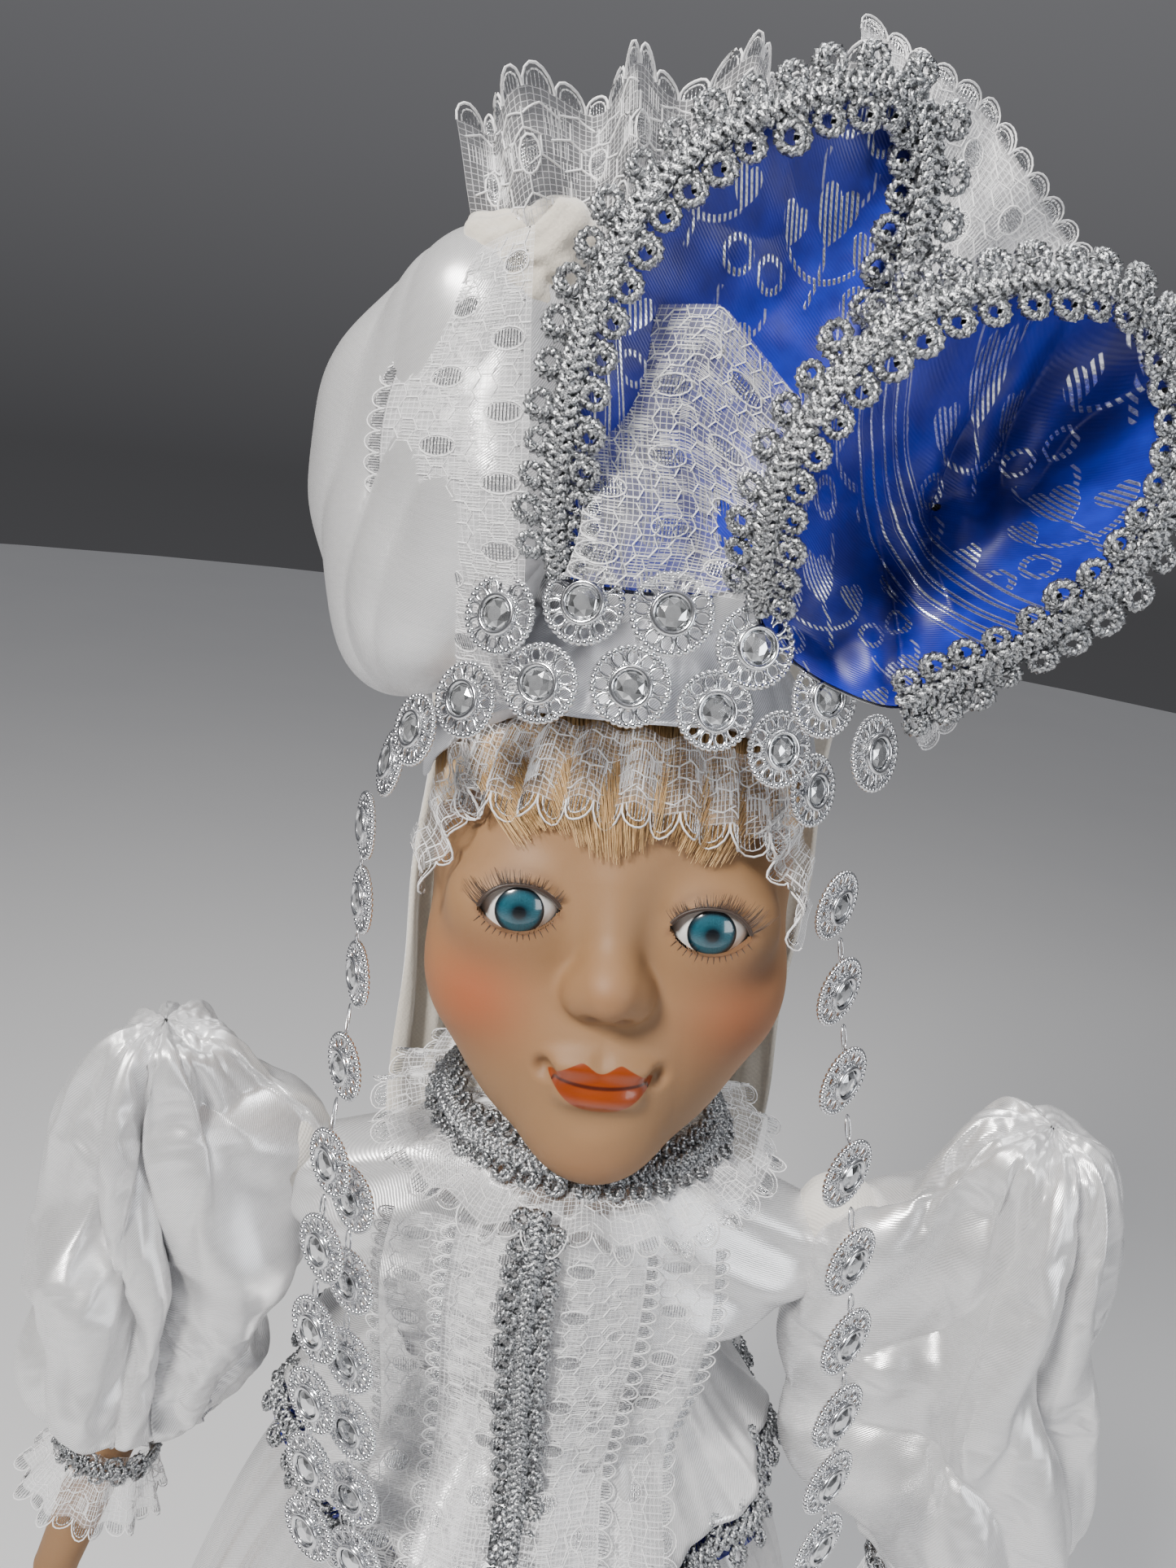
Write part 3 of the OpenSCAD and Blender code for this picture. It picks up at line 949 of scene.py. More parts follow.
@dataclass(frozen=True)
class CutStone:
    """Clear faceted stone over a mirror foil; the attribute mark differs from facet to facet and picks a painted
    reflection, from dark facets to bright ones and white glints.
    """

    name: str = "clear_stone"

    def made(self) -> bpy.types.Material:
        """The stone, with painted reflections in its base colour."""
        p = Paint(self.name)
        mark = p.value("mark")
        deep = p.noise(p.place(), 1100.0, 1.0)
        # painted reflection: dark and bright facets and fine glints in the base colour, chosen by each facet's mark and
        # a fine noise
        tone = p.ramp(mark * 0.7 + deep * 0.35, [
            (0.0, (0.10, 0.105, 0.11)), (0.35, (0.34, 0.35, 0.36)), (0.6, (0.72, 0.74, 0.76)), (1.0, (0.97, 0.98, 1.0)),
        ])
        return p.surface(
            Base_Color=tone,
            Metallic=0.82,
            Roughness=0.06 + deep * 0.05,
            Coat_Weight=1.0,
            Coat_Roughness=0.01,
        )


@dataclass(frozen=True)
class PaintedMetal:
    """Enamelled or plated plain metal of the stand and the small hardware."""

    name: str
    colour: tuple[float, float, float]
    metallic: float
    rough: float

    def made(self) -> bpy.types.Material:
        """The metal."""
        p = Paint(self.name)
        at = p.place()
        peel = p.noise(at, 500.0, 3.0)
        scuff = p.noise(at, 140.0, 4.0, 0.7).step(0.6, 0.72)
        return p.surface(
            Base_Color=p.blend(scuff * 0.35, self.colour, tuple(c * 0.6 for c in self.colour)),
            Metallic=self.metallic,
            Roughness=self.rough + scuff * 0.2,
            Coat_Weight=(1 - self.metallic) * 0.4,
            Normal=p.bump(peel, 0.02),
        )


@dataclass(frozen=True)
class Leather:
    """Soft grained leather of the shoes."""

    name: str
    colour: tuple[float, float, float]

    def made(self) -> bpy.types.Material:
        """The leather."""
        p = Paint(self.name)
        at = p.place()
        cells = p.node(
            "ShaderNodeTexVoronoi", {"feature": "DISTANCE_TO_EDGE"}, {"Vector": at, "Scale": 1400.0}
        )
        cloud = p.noise(at, 200.0, 3.0)
        return p.surface(
            Base_Color=p.blend(cloud.step(0.4, 0.8), self.colour, tuple(c * 0.82 for c in self.colour)),
            Roughness=0.42 + cloud * 0.15,
            Normal=p.bump(cells.step(0.0, 0.2), 0.08),
        )


@dataclass(frozen=True)
class Brocade:
    """Royal blue satin with hearts on stems, scrolls and stripes of flat silver tinsel. UV in millimetres."""

    name: str = "blue_brocade"
    blue: tuple[float, float, float] = (0.002, 0.006, 0.20)
    tinsel: tuple[float, float, float] = (0.74, 0.76, 0.82)
    tile: float = 15.0

    def heart(self, p: Paint, x: Socket, y: Socket, size: float) -> Socket:
        """A heart of one size with its middle at the origin."""
        side = abs(x) / size
        rise = y / size - (side + 0.02).root() * 0.85 + 0.18
        return (side * side * 1.1 + rise * rise).step(1.0, 0.86)

    def made(self) -> bpy.types.Material:
        """The brocade."""
        p = Paint(self.name)
        u, v, _ = p.split(p.cloth())
        drift = p.noise(p.cloth(), 0.06, 1.0)
        u, v = u + drift * 2.0, v + drift * 2.0
        row = (v / self.tile).floor()
        x = (u + (row % 2.0) * (self.tile / 2)) % self.tile - self.tile / 2
        y = v % self.tile - self.tile / 2
        hearts = self.heart(p, x, y - 2.4, 2.5)
        for dx, dy in ((-4.3, 0.2), (4.3, 0.2)):
            hearts = hearts.most(self.heart(p, x - dx, y - dy, 1.7))
        bow = x * x * 0.11
        stem = abs(x + (y * 0.7).sin() * 0.25).step(0.34, 0.16) * y.step(0.3, -0.2) * y.step(-6.5, -6.0)
        arms = abs(y + 3.4 - bow).step(0.42, 0.2) * abs(x).step(4.6, 4.2)
        bell_x, bell_y = abs(x) - 5.4, y + 4.6
        curl = abs((bell_x * bell_x + bell_y * bell_y).root() - 1.5).step(0.42, 0.22)
        dots = ((u * 2.9).sin() * (v * 2.9).sin()).step(0.55, 0.75)
        scroll = abs(((x * x + (y - 6.6) * (y - 6.6)).root() - 3.0)).step(0.34, 0.14) * dots.most(0.45)
        band = abs((u + v * 0.35) % 47.0 - 23.5).step(4.2, 3.8)
        stripes = ((u + v * 0.35) * 3.6).sin().step(0.0, 0.5) * band
        motif = hearts.most(stem).most(arms).most(curl).most(scroll) * (1 - band)
        hatch = ((u * 0.94 + v * 0.34) * 11.0).sin().step(-0.25, 0.35)
        silver = (motif.most(stripes) * hatch).least(1.0)
        twill = ((u * 0.7 + v) * 16.0).sin() * 0.5 + 0.5
        glint = p.noise(p.place(), 1900.0, 2.0)
        cloth = p.blend(p.noise(p.cloth(), 0.2, 3.0).step(0.3, 0.8), self.blue, (0.008, 0.022, 0.42))
        bright = p.blend(glint.step(0.4, 0.7), self.tinsel, (0.45, 0.46, 0.50))
        return p.surface(
            Base_Color=p.blend(silver, cloth, bright),
            Metallic=silver * 0.95,
            Roughness=0.36 + twill * 0.06 - silver * 0.14 + glint * 0.05,
            Specular_IOR_Level=0.55,
            Sheen_Weight=0.05,
            Normal=p.bump(twill * 0.3 + silver * 0.7, 0.05),
        )


@dataclass(frozen=True)
class Card:
    """Pressed card of the pate inside the head."""

    name: str = "pressed_card"

    def made(self) -> bpy.types.Material:
        """The card."""
        p = Paint(self.name)
        pulp = p.noise(p.place(), 900.0, 4.0, 0.7)
        return p.surface(
            Base_Color=p.blend(pulp.step(0.3, 0.7), (0.46, 0.36, 0.24), (0.56, 0.45, 0.31)),
            Roughness=0.8 + pulp * 0.1,
            Normal=p.bump(pulp, 0.1),
        )


@dataclass(frozen=True)
class Embroidery:
    """Pink and green embroidery thread: petals where mark is 0, leaves where it is 1."""

    name: str = "embroidery_thread"

    def made(self) -> bpy.types.Material:
        """The thread."""
        p = Paint(self.name)
        mark = p.value("mark").step(0.4, 0.6)
        shade = p.noise(p.place(), 1400.0, 2.0)
        pink = p.blend(shade.step(0.3, 0.7), (0.62, 0.20, 0.36), (0.78, 0.42, 0.56))
        green = p.blend(shade.step(0.3, 0.7), (0.10, 0.24, 0.11), (0.22, 0.38, 0.18))
        return p.surface(
            Base_Color=p.blend(mark, pink, green),
            Roughness=0.5 + shade * 0.1,
            Sheen_Weight=0.2,
            Normal=p.bump(shade, 0.05),
        )


# ---------------------------------------------------------------- trims: rosettes, braid and lace


def batch_tubes(lines: Array, radius: float | Array, sides: int = 3) -> tuple[Array, Array]:
    """Tubes along many lines that all have the same number of points.

    Args:
        lines: array of shape (lines, points, 3).
        radius: one radius, or one for each point of a line.
        sides: how many sides each tube has.

    Returns:
        Vertex rows and face rows.
    """
    count, steps = lines.shape[:2]
    tangent = unit(np.gradient(lines, axis=1))
    guide = np.where(np.abs(tangent[..., 1:2]) > 0.93, np.array([0.9, 0.1, 0.4]), np.array([0.1, -1.0, 0.05]))
    side = unit(np.cross(tangent, guide))
    up = np.cross(side, tangent)
    a = np.linspace(0, 2 * np.pi, sides, endpoint=False)[None, None, :, None]
    r = np.broadcast_to(np.asarray(radius, float), (count, steps))[..., None, None]
    ring = lines[:, :, None] + r * (np.cos(a) * side[:, :, None] + np.sin(a) * up[:, :, None])
    cell = grid_faces(steps, sides, False, True)
    faces = (cell[None] + (np.arange(count) * steps * sides)[:, None, None]).reshape(-1, 4)
    return ring.reshape(-1, 3), faces


@dataclass
class Rosettes:
    """Plated flower rosettes with a clear stone each, set at given places."""

    stone_r: float = 2.3
    loop_ring: float = 3.75
    loops: int = 12
    wire: float = 0.34

    def tree(self, material: bpy.types.Material) -> bpy.types.NodeTree:
        """Geometry nodes that set a rosette on every point and turn it to face outwards."""
        g = Growth("rosette_flowers", [
            ("Loops", "NodeSocketInt", 12), ("Loop ring", "NodeSocketFloat", 0.00375),
            ("Wire", "NodeSocketFloat", 0.00027), ("Stone radius", "NodeSocketFloat", 0.0023),
            ("Loop radius", "NodeSocketFloat", 0.0009), ("Bead radius", "NodeSocketFloat", 0.00052),
        ])
        wire = g.node("GeometryNodeCurvePrimitiveCircle", None, {"Resolution": 5, "Radius": g.given("Wire")})
        loop_line = g.node(
            "GeometryNodeCurvePrimitiveCircle", None, {"Resolution": 10, "Radius": g.given("Loop radius")}
        )
        loop = g.node("GeometryNodeCurveToMesh", None, {"Curve": loop_line, "Profile Curve": wire})
        around = g.node(
            "GeometryNodeMeshCircle", None, {"Vertices": g.given("Loops"), "Radius": g.given("Loop ring")}
        )
        spot = g.node("GeometryNodeInputPosition")
        outwards = g.node("FunctionNodeAlignRotationToVector", {"axis": "X"}, {"Vector": spot})
        egg = g.node("ShaderNodeCombineXYZ", None, [1.25, 0.86, 1.0])
        petals = g.node("GeometryNodeInstanceOnPoints", None, {
            "Points": around, "Instance": loop, "Rotation": outwards, "Scale": egg
        })
        bead = g.node(
            "GeometryNodeMeshIcoSphere", None, {"Radius": g.given("Bead radius"), "Subdivisions": 2}
        )
        edge_ring = g.given("Loop ring") + 0.0011
        edge = g.node("GeometryNodeMeshCircle", None, {"Vertices": g.given("Loops") * 3, "Radius": edge_ring})
        beads = g.node("GeometryNodeInstanceOnPoints", None, {"Points": edge, "Instance": bead})
        inner_ring = g.given("Loop ring") - 0.0010
        inner = g.node(
            "GeometryNodeMeshCircle", None, {"Vertices": g.given("Loops") * 2, "Radius": inner_ring}
        )
        studs = g.node("GeometryNodeInstanceOnPoints", None, {
            "Points": inner, "Instance": bead,
            "Scale": g.node("ShaderNodeCombineXYZ", None, [0.8, 0.8, 0.8])
        })
        rim_line = g.node("GeometryNodeCurvePrimitiveCircle", None, {
            "Resolution": 28, "Radius": g.given("Stone radius") + 0.00018
        })
        rim_wire = g.node(
            "GeometryNodeCurvePrimitiveCircle", None, {"Resolution": 8, "Radius": g.given("Wire") * 1.15}
        )
        rim = g.node("GeometryNodeCurveToMesh", None, {"Curve": rim_line, "Profile Curve": rim_wire})
        high = g.node("ShaderNodeCombineXYZ", None, [0.0, 0.0, 0.0008])
        lifted_rim = g.node("GeometryNodeTransform", None, {"Geometry": rim, "Translation": high})
        cup = g.node("GeometryNodeMeshCylinder", None, {
            "Vertices": 24, "Radius": g.given("Stone radius") + 0.0004, "Depth": 0.0011
        })
        flower = g.node("GeometryNodeJoinGeometry")
        for part in (cup, lifted_rim, studs, beads, petals):
            g.tree.links.new(part.socket, flower.socket.node.inputs[0])
        facing = g.node("GeometryNodeInputNamedAttribute", {"data_type": "FLOAT_VECTOR"}, {"Name": "facing"})
        turn = g.node("FunctionNodeAlignRotationToVector", {"axis": "Z"}, {"Vector": facing})
        placed = g.node("GeometryNodeInstanceOnPoints", None, {
            "Points": g.given("Geometry"), "Instance": flower, "Rotation": turn
        })
        return g.close(placed, material)

    def stone(self, at: Array, facing: Array, rng: np.random.Generator) -> tuple[Array, Array, Array]:
        """One cut stone whose facets each have their own mark, which sets the painted reflection of the facet."""
        def ring(count: int, r: float, z: float, shift: float) -> Array:
            """A ring of corner points."""
            a = (np.arange(count) + shift) * 2 * np.pi / count
            return np.stack([r * np.cos(a), r * np.sin(a), np.full(count, z)], -1)
        r = self.stone_r
        table, middle, girdle = ring(8, 0.46 * r, 1.25, 0), ring(8, 0.78 * r, 0.95, 0.5), ring(16, r, 0.45, 0.0)
        top = np.array([[0, 0, 1.3]])
        shapes = []
        for k in range(8):
            after = (k + 1) % 8
            shapes.append((top[0], table[k], table[after]))
            shapes.append((table[k], middle[k], table[after]))
            shapes.append((table[after], middle[k], middle[after]))
            shapes.append((middle[k], girdle[2 * k], girdle[2 * k + 1]))
            shapes.append((middle[k], girdle[2 * k + 1], girdle[(2 * k + 2) % 16]))
            shapes.append((middle[k], girdle[(2 * k + 2) % 16], middle[after]))
        corners = np.array(shapes).reshape(-1, 3)
        axis = unit(facing)
        side = unit(np.cross([0.0, 0.0, 1.0], axis))
        up = np.cross(axis, side)
        points = at + corners @ np.stack([side, up, axis])
        # painted reflection: each facet gets a random brightness, and the table facets a fairly bright one
        marks = np.repeat(rng.uniform(0, 1, len(shapes)), 3)
        marks[[k for k in range(len(marks)) if (k // 3) % 6 == 0]] = rng.uniform(0.55, 0.9)
        return points, np.arange(len(points)).reshape(-1, 3), marks

    def build(self, name: str, places: Array, facing: Array, body: Body, stands_for: Sequence[str]) -> None:
        """Makes one set of rosettes and its stones."""
        base = places + facing * 0.75
        seeds = make_object(f"{name}_rosettes", base, [], None, {"facing": facing})
        plastic = BrightPlastic(f"plated_plastic_{name}").made()
        sizes = {
            "Loops": self.loops, "Loop ring": self.loop_ring * MM, "Wire": self.wire * MM,
            "Stone radius": self.stone_r * MM
        }
        flowers = grow(seeds, self.tree(plastic), **sizes)
        flowers.data.polygons.foreach_set("use_smooth", [True] * len(flowers.data.polygons))
        place(flowers, body, None, [stands_for[0]])
        rng = np.random.default_rng(5)
        points, faces, marks, total = [], [], [], 0
        for at, way in zip(base, facing):
            part, cells, mark = self.stone(at, way, rng)
            points.append(part)
            faces.append(cells + total)
            marks.append(mark)
            total += len(part)
        stones = make_object(f"{name}_stones", np.vstack(points), np.vstack(faces), None, {
            "mark": np.concatenate(marks)
        }, False)
        place(stones, body, CutStone(f"clear_stone_{name}").made(), [stands_for[1]])


@dataclass
class Braid:
    """Silver gimp: a plaited middle with curled loops of twisted cord on both sides."""

    repeat: float = 4.2
    half: float = 4.7
    cord: float = 0.40
    step: float = 0.34

    def twisted(self, path: Array, r: float, pitch: float) -> tuple[Array, Array]:
        """Two plies wound round each other along one path."""
        _, side, up = frames_along(path)
        run = np.concatenate([[0], np.cumsum(np.linalg.norm(np.diff(path, axis=0), axis=1))])
        lines = []
        for half_turn in (0.0, np.pi):
            a = (run / pitch * 2 * np.pi + half_turn)[:, None]
            lines.append(path + r * 0.75 * (np.cos(a) * side + np.sin(a) * up))
        return batch_tubes(np.array(lines), r, 4)

    def curl(self) -> bpy.types.Object:
        """One curled loop, standing outwards along +Y from the braid's middle."""
        a = np.radians(np.linspace(215, -255, 34))[:, None]
        t = np.linspace(0, 1, 34)[:, None]
        r = 1.72 - 0.92 * t
        spiral = np.concatenate([0.1 + r * np.cos(a), self.half - 1.75 + r * np.sin(a), 0.1 + 0.75 * t], 1)
        lead = np.linspace([-2.3, 0.2, -0.2], spiral[0], 6, endpoint=False)
        path = np.vstack([lead, spiral])
        return make_object("curl_seed", *self.twisted(path, self.cord, 1.5))

    def tree(self, curl: bpy.types.Object, material: bpy.types.Material) -> bpy.types.NodeTree:
        """Geometry nodes that set a curl on every point, turned along the braid."""
        g = Growth("braid_curls", [(
            "Curl", "NodeSocketObject", curl
        ), ("Seed", "NodeSocketInt", 4), ("Unevenness", "NodeSocketFloat", 0.1)])
        thing = g.node("GeometryNodeObjectInfo", None, {"Object": g.given("Curl")}, "Geometry")
        outwards = g.node(
            "GeometryNodeInputNamedAttribute", {"data_type": "FLOAT_VECTOR"}, {"Name": "outwards"}
        )
        face = g.node("GeometryNodeInputNamedAttribute", {"data_type": "FLOAT_VECTOR"}, {"Name": "face"})
        turn = g.node("FunctionNodeAxesToRotation", {
            "primary_axis": "Z", "secondary_axis": "Y"
        }, {"Primary Axis": face, "Secondary Axis": outwards})
        low, high = 1 - g.given("Unevenness"), 1 + g.given("Unevenness")
        size = g.node(
            "FunctionNodeRandomValue", {"data_type": "FLOAT"}, {2: low, 3: high, "Seed": g.given("Seed")}, 1
        )
        scale = g.node("ShaderNodeCombineXYZ", None, [size, size, size])
        placed = g.node("GeometryNodeInstanceOnPoints", None, {
            "Points": g.given("Geometry"), "Instance": thing, "Rotation": turn, "Scale": scale
        })
        return g.close(placed, material)

    def build(
        self, name: str, path: Array, face: Array, body: Body, stands_for: Sequence[str],
        closed: bool = False
    ) -> bpy.types.Object:
        """Lays the braid along a path.

        Args:
            name: the piece's name.
            path: points along the braid's middle.
            face: the direction that the braid's face looks in, at each point.
            body: the body it rides on.
            stands_for: frame nodes that it replaces.
            closed: whether the path is a loop.

        Returns:
            The finished braid.
        """
        material = SilverCord(f"silver_cord_{name}").made()
        loop = np.vstack([path, path[:1]]) if closed else path
        total = length_of(loop)
        steps = max(int(total / self.step), 8)
        both = spline(np.hstack([path, face]), steps, closed)
        line, face = both[:, :3], unit(both[:, 3:])
        tangent, side, face = frames_along(line, face, closed)
        heap = MeshHeap()
        run = np.linspace(0, total, steps)[:, None]
        for k in range(3):
            a = run / (self.repeat * 0.9) * 2 * np.pi + k * 2 * np.pi / 3
            strand = line + side * 1.25 * np.sin(a) + face * (0.4 * np.sin(2 * a + 0.6) + 0.6)
            heap.add(*self.twisted(strand, self.cord * 1.15, 1.6))
        middle = heap.finish(f"{name}_plait")
        middle.data.materials.append(material)
        links = max(int(round(total / self.repeat)), 2)
        at = (np.arange(links) + 0.5) / links * (steps - 1)
        index = at.astype(int)
        seeds, ways, faces = [], [], []
        for sign in (1.0, -1.0):
            shifted = np.clip(index + (int(steps / links / 2) if sign < 0 else 0), 0, steps - 1)
            seeds.append(line[shifted])
            ways.append(side[shifted] * sign)
            faces.append(face[shifted])
        values = {"outwards": np.vstack(ways), "face": np.vstack(faces)}
        points = make_object(f"{name}_curls", np.vstack(seeds), [], None, values)
        seed = self.curl()
        curls = grow(points, self.tree(seed, material), Curl=seed, Seed=len(name))
        bpy.data.objects.remove(seed)
        whole = join_objects(name, [curls, middle])
        whole.data.polygons.foreach_set("use_smooth", [True] * len(whole.data.polygons))
        return place(whole, body, None, stands_for)


@dataclass
class Lace:
    """White net lace with tinsel scallops and spots, laid on any surface.

    The surface is a function of u along the lace and v across it, both in millimetres; the scalloped
    edge lies at v = width.
    """

    length: float
    width: float
    surface: Callable[[Array, Array], Array]
    cell: float = 2.9
    thread: float = 0.11
    scallop: float = 2.7
    both_edges: bool = False
    spots: bool = True
    start: float = 0.0
    seed: int = 3
    keep: Callable[[Array, Array], Array] | None = None

    def put(self, heap: MeshHeap, u: Array, v: Array, r: float, mark: float, lift: float = 0.0) -> None:
        """Adds threads given in cloth coordinates, each row one thread."""
        u, v = np.broadcast_arrays(u, v)
        if self.keep is not None:
            stays = self.keep(u, v).all(axis=1)
            u, v = u[stays], v[stays]
        if not len(u):
            return
        lines = self.surface(u, v)
        if lift:
            lines = lines + np.array([0.0, -lift, 0.0])
        heap.add(*batch_tubes(lines, r, 3), mark)

    def net(self, heap: MeshHeap) -> None:
        """The six-sided net."""
        rng = np.random.default_rng(self.seed)
        c, rise = self.cell, self.cell * 0.866
        high = self.width - self.scallop * 0.9
        columns, rows = int(self.length / c) + 1, int((high - self.start) / rise) + 1
        i, j = np.meshgrid(np.arange(columns), np.arange(rows), indexing="ij")
        u = (i + 0.5 * (j % 2)) * c
        v = self.start + j * rise
        u, v = u + rng.normal(0, 0.10 * c, u.shape), v + rng.normal(0, 0.10 * c, v.shape)
        t = np.linspace(0, 1, 4)
        for du, dv in ((0.5, -rise / c * 0.333), (0.0, rise / c * 0.667), (-0.5, -rise / c * 0.333)):
            end_u, end_v = u + du * c, v + dv * c
            line_u = u[..., None] + (end_u - u)[..., None] * t
            line_v = v[..., None] + (end_v - v)[..., None] * t
            keep = (line_v.max(-1) <= high) & (
                line_v.min(-1) >= self.start - 0.2
            ) & (line_u.max(-1) < self.length) & (line_u.min(-1) > 0)
            self.put(heap, line_u[keep], line_v[keep], self.thread, 0.0)

    def ladder(self, heap: MeshHeap) -> None:
        """Fine parallel threads that fill some of the net's cells."""
        rng = np.random.default_rng(self.seed + 1)
        count = int(self.length * (self.width - self.start) / 11)
        u0 = rng.uniform(0.5, self.length - 2.5, count)
        v0 = rng.uniform(self.start + 0.5, max(self.width - self.scallop - 2.6, self.start + 0.6), count)
        t = np.linspace(0, 1, 3)
        for k in range(5):
            u = u0 + k * 0.42
            self.put(heap, np.repeat(u[:, None], 3, 1), v0[:, None] + t * 2.3, 0.055, 0.0)

    def edge(self, heap: MeshHeap, v_edge: float, way: float) -> None:
        """One scalloped edge with short tinsel bars inside each scallop."""
        count = int(self.length / self.scallop)
        u0 = (np.arange(count) + 0.5) * (self.length / count)
        a = np.linspace(-np.pi / 2, np.pi / 2, 9)
        half = self.length / count / 2
        for size, r in ((1.0, self.thread * 1.35), (0.74, self.thread * 0.8)):
            u = u0[:, None] + np.sin(a) * half * size
            v = v_edge - way * self.scallop * 0.85 * (1 - np.cos(a) * size)
            self.put(heap, u, v, r, 0.0)
        for k in np.linspace(-0.62, 0.62, 6):
            reach = math.sqrt(1 - k * k) * self.scallop * 0.62
            u = np.repeat((u0 + k * half)[:, None], 3, 1)
            base = v_edge - way * self.scallop * 0.85
            v = base + way * np.array([0.0, reach / 2, reach])[None, :] + 0 * u
            self.put(heap, u, v, 0.085, 1.0, 0.08)

    def spot_rows(self, heap: MeshHeap) -> None:
        """Oval spots of tinsel bars in staggered rows."""
        row = 0
        v = self.start + 3.2
        while v < self.width - self.scallop - 2.5:
            u0 = np.arange(4.0 + (row % 2) * 4.5, self.length - 2.0, 9.0)
            for k in np.linspace(-0.85, 0.85, 9):
                half = 1.15 * math.sqrt(1 - k * k)
                line = np.array([-half, 0, half])
                self.put(heap, u0[:, None] + line, np.full((len(u0), 3), v + k * 2.1), 0.09, 1.0, 0.1)
            a = np.linspace(0, 2 * np.pi, 13)
            self.put(
                heap, u0[:, None] + 1.45 * np.cos(a), v + 2.45 * np.sin(a) + 0 * u0[:, None],
                self.thread * 1.2, 0.0
            )
            row += 1
            v += 8.0

    def threads(self, name: str) -> bpy.types.Object:
        """All threads of the lace as one mesh."""
        heap = MeshHeap()
        self.net(heap)
        self.ladder(heap)
        self.edge(heap, self.width, 1.0)
        if self.both_edges:
            self.edge(heap, self.start, -1.0)
        if self.spots:
            self.spot_rows(heap)
        return heap.finish(name)

    def ground(self, name: str, material: bpy.types.Material, step: float = 1.4) -> bpy.types.Object:
        """The sheer ground under the threads."""
        rows = max(int((self.width - self.start) / step), 2) + 1
        columns = max(int(self.length / step), 2) + 1
        v, u = np.meshgrid(np.linspace(
            self.start, self.width - self.scallop * 0.8, rows
        ), np.linspace(0, self.length, columns), indexing="ij")
        points = self.surface(u, v) + np.array([0.0, 0.06, 0.0])
        faces = grid_faces(rows, columns)
        if self.keep is not None:
            stays = self.keep(u.reshape(-1)[faces], v.reshape(-1)[faces]).all(axis=1)
            faces = faces[stays]
        obj = make_object(name, points.reshape(-1, 3), faces, np.stack([u, v], -1).reshape(-1, 2))
        obj.data.materials.append(material)
        return obj

    def build(
        self, name: str, body: Body, held: str, stands_for: Sequence[str] = (), cover: float = 0.22
    ) -> bpy.types.Object:
        ground = self.ground(name, Tulle(f"{name}_ground", cover).made())
        threads = self.threads(f"{name}_threads")
        threads.data.materials.append(Thread(f"{name}_thread").made())
        place(ground, body, None, stands_for)
        place(threads, body)
        declare_sheet((self.width, self.length))
        return ground


# ---------------------------------------------------------------- head


@dataclass(frozen=True)
class HeadFrame:
    """The head's own frame: its origin lies midway between the eyes."""

    at: tuple[float, float, float] = (0.0, 2.5, 340.0)
    pitch: float = -7.0
    roll: float = -3.0
    yaw: float = 2.0

    def matrix(self) -> Array:
        """Turning matrix from the head's frame to the doll's."""
        angles = [math.radians(a) for a in (self.pitch, self.roll, self.yaw)]
        return np.array(Euler(angles, "XYZ").to_matrix())

    def out(self, points: Array) -> Array:
        """Moves points from the head's frame to the doll's."""
        return np.asarray(points, float) @ self.matrix().T + np.array(self.at)

    def into(self, points: Array) -> Array:
        """Moves points from the doll's frame to the head's."""
        return (np.asarray(points, float) - np.array(self.at)) @ self.matrix()


def ellipsoid(p: Array, centre: Sequence[float], radii: Sequence[float]) -> Array:
    """Rough distance to an ellipsoid, negative inside."""
    q = (p - np.array(centre)) / np.array(radii)
    k0 = np.linalg.norm(q, axis=-1)
    k1 = np.linalg.norm(q / np.array(radii), axis=-1)
    return k0 * (k0 - 1) / np.maximum(k1, 1e-6)


def rod(p: Array, a: Sequence[float], b: Sequence[float], ra: float, rb: float) -> Array:
    """Rough distance to a rod whose radius runs from ra to rb."""
    a, b = np.array(a, float), np.array(b, float)
    t = np.clip(((p - a) @ (b - a)) / ((b - a) @ (b - a)), 0, 1)
    return np.linalg.norm(p - a - t[..., None] * (b - a), axis=-1) - (ra + (rb - ra) * t)


def fuse(a: Array, b: Array, k: float) -> Array:
    """Joins two distances with a fillet of size k."""
    h = np.clip(0.5 + 0.5 * (b - a) / k, 0, 1)
    return b + (a - b) * h - k * h * (1 - h)


def carve(a: Array, b: Array, k: float) -> Array:
    """Cuts b out of a with a fillet of size k."""
    return -fuse(-a, b, k)


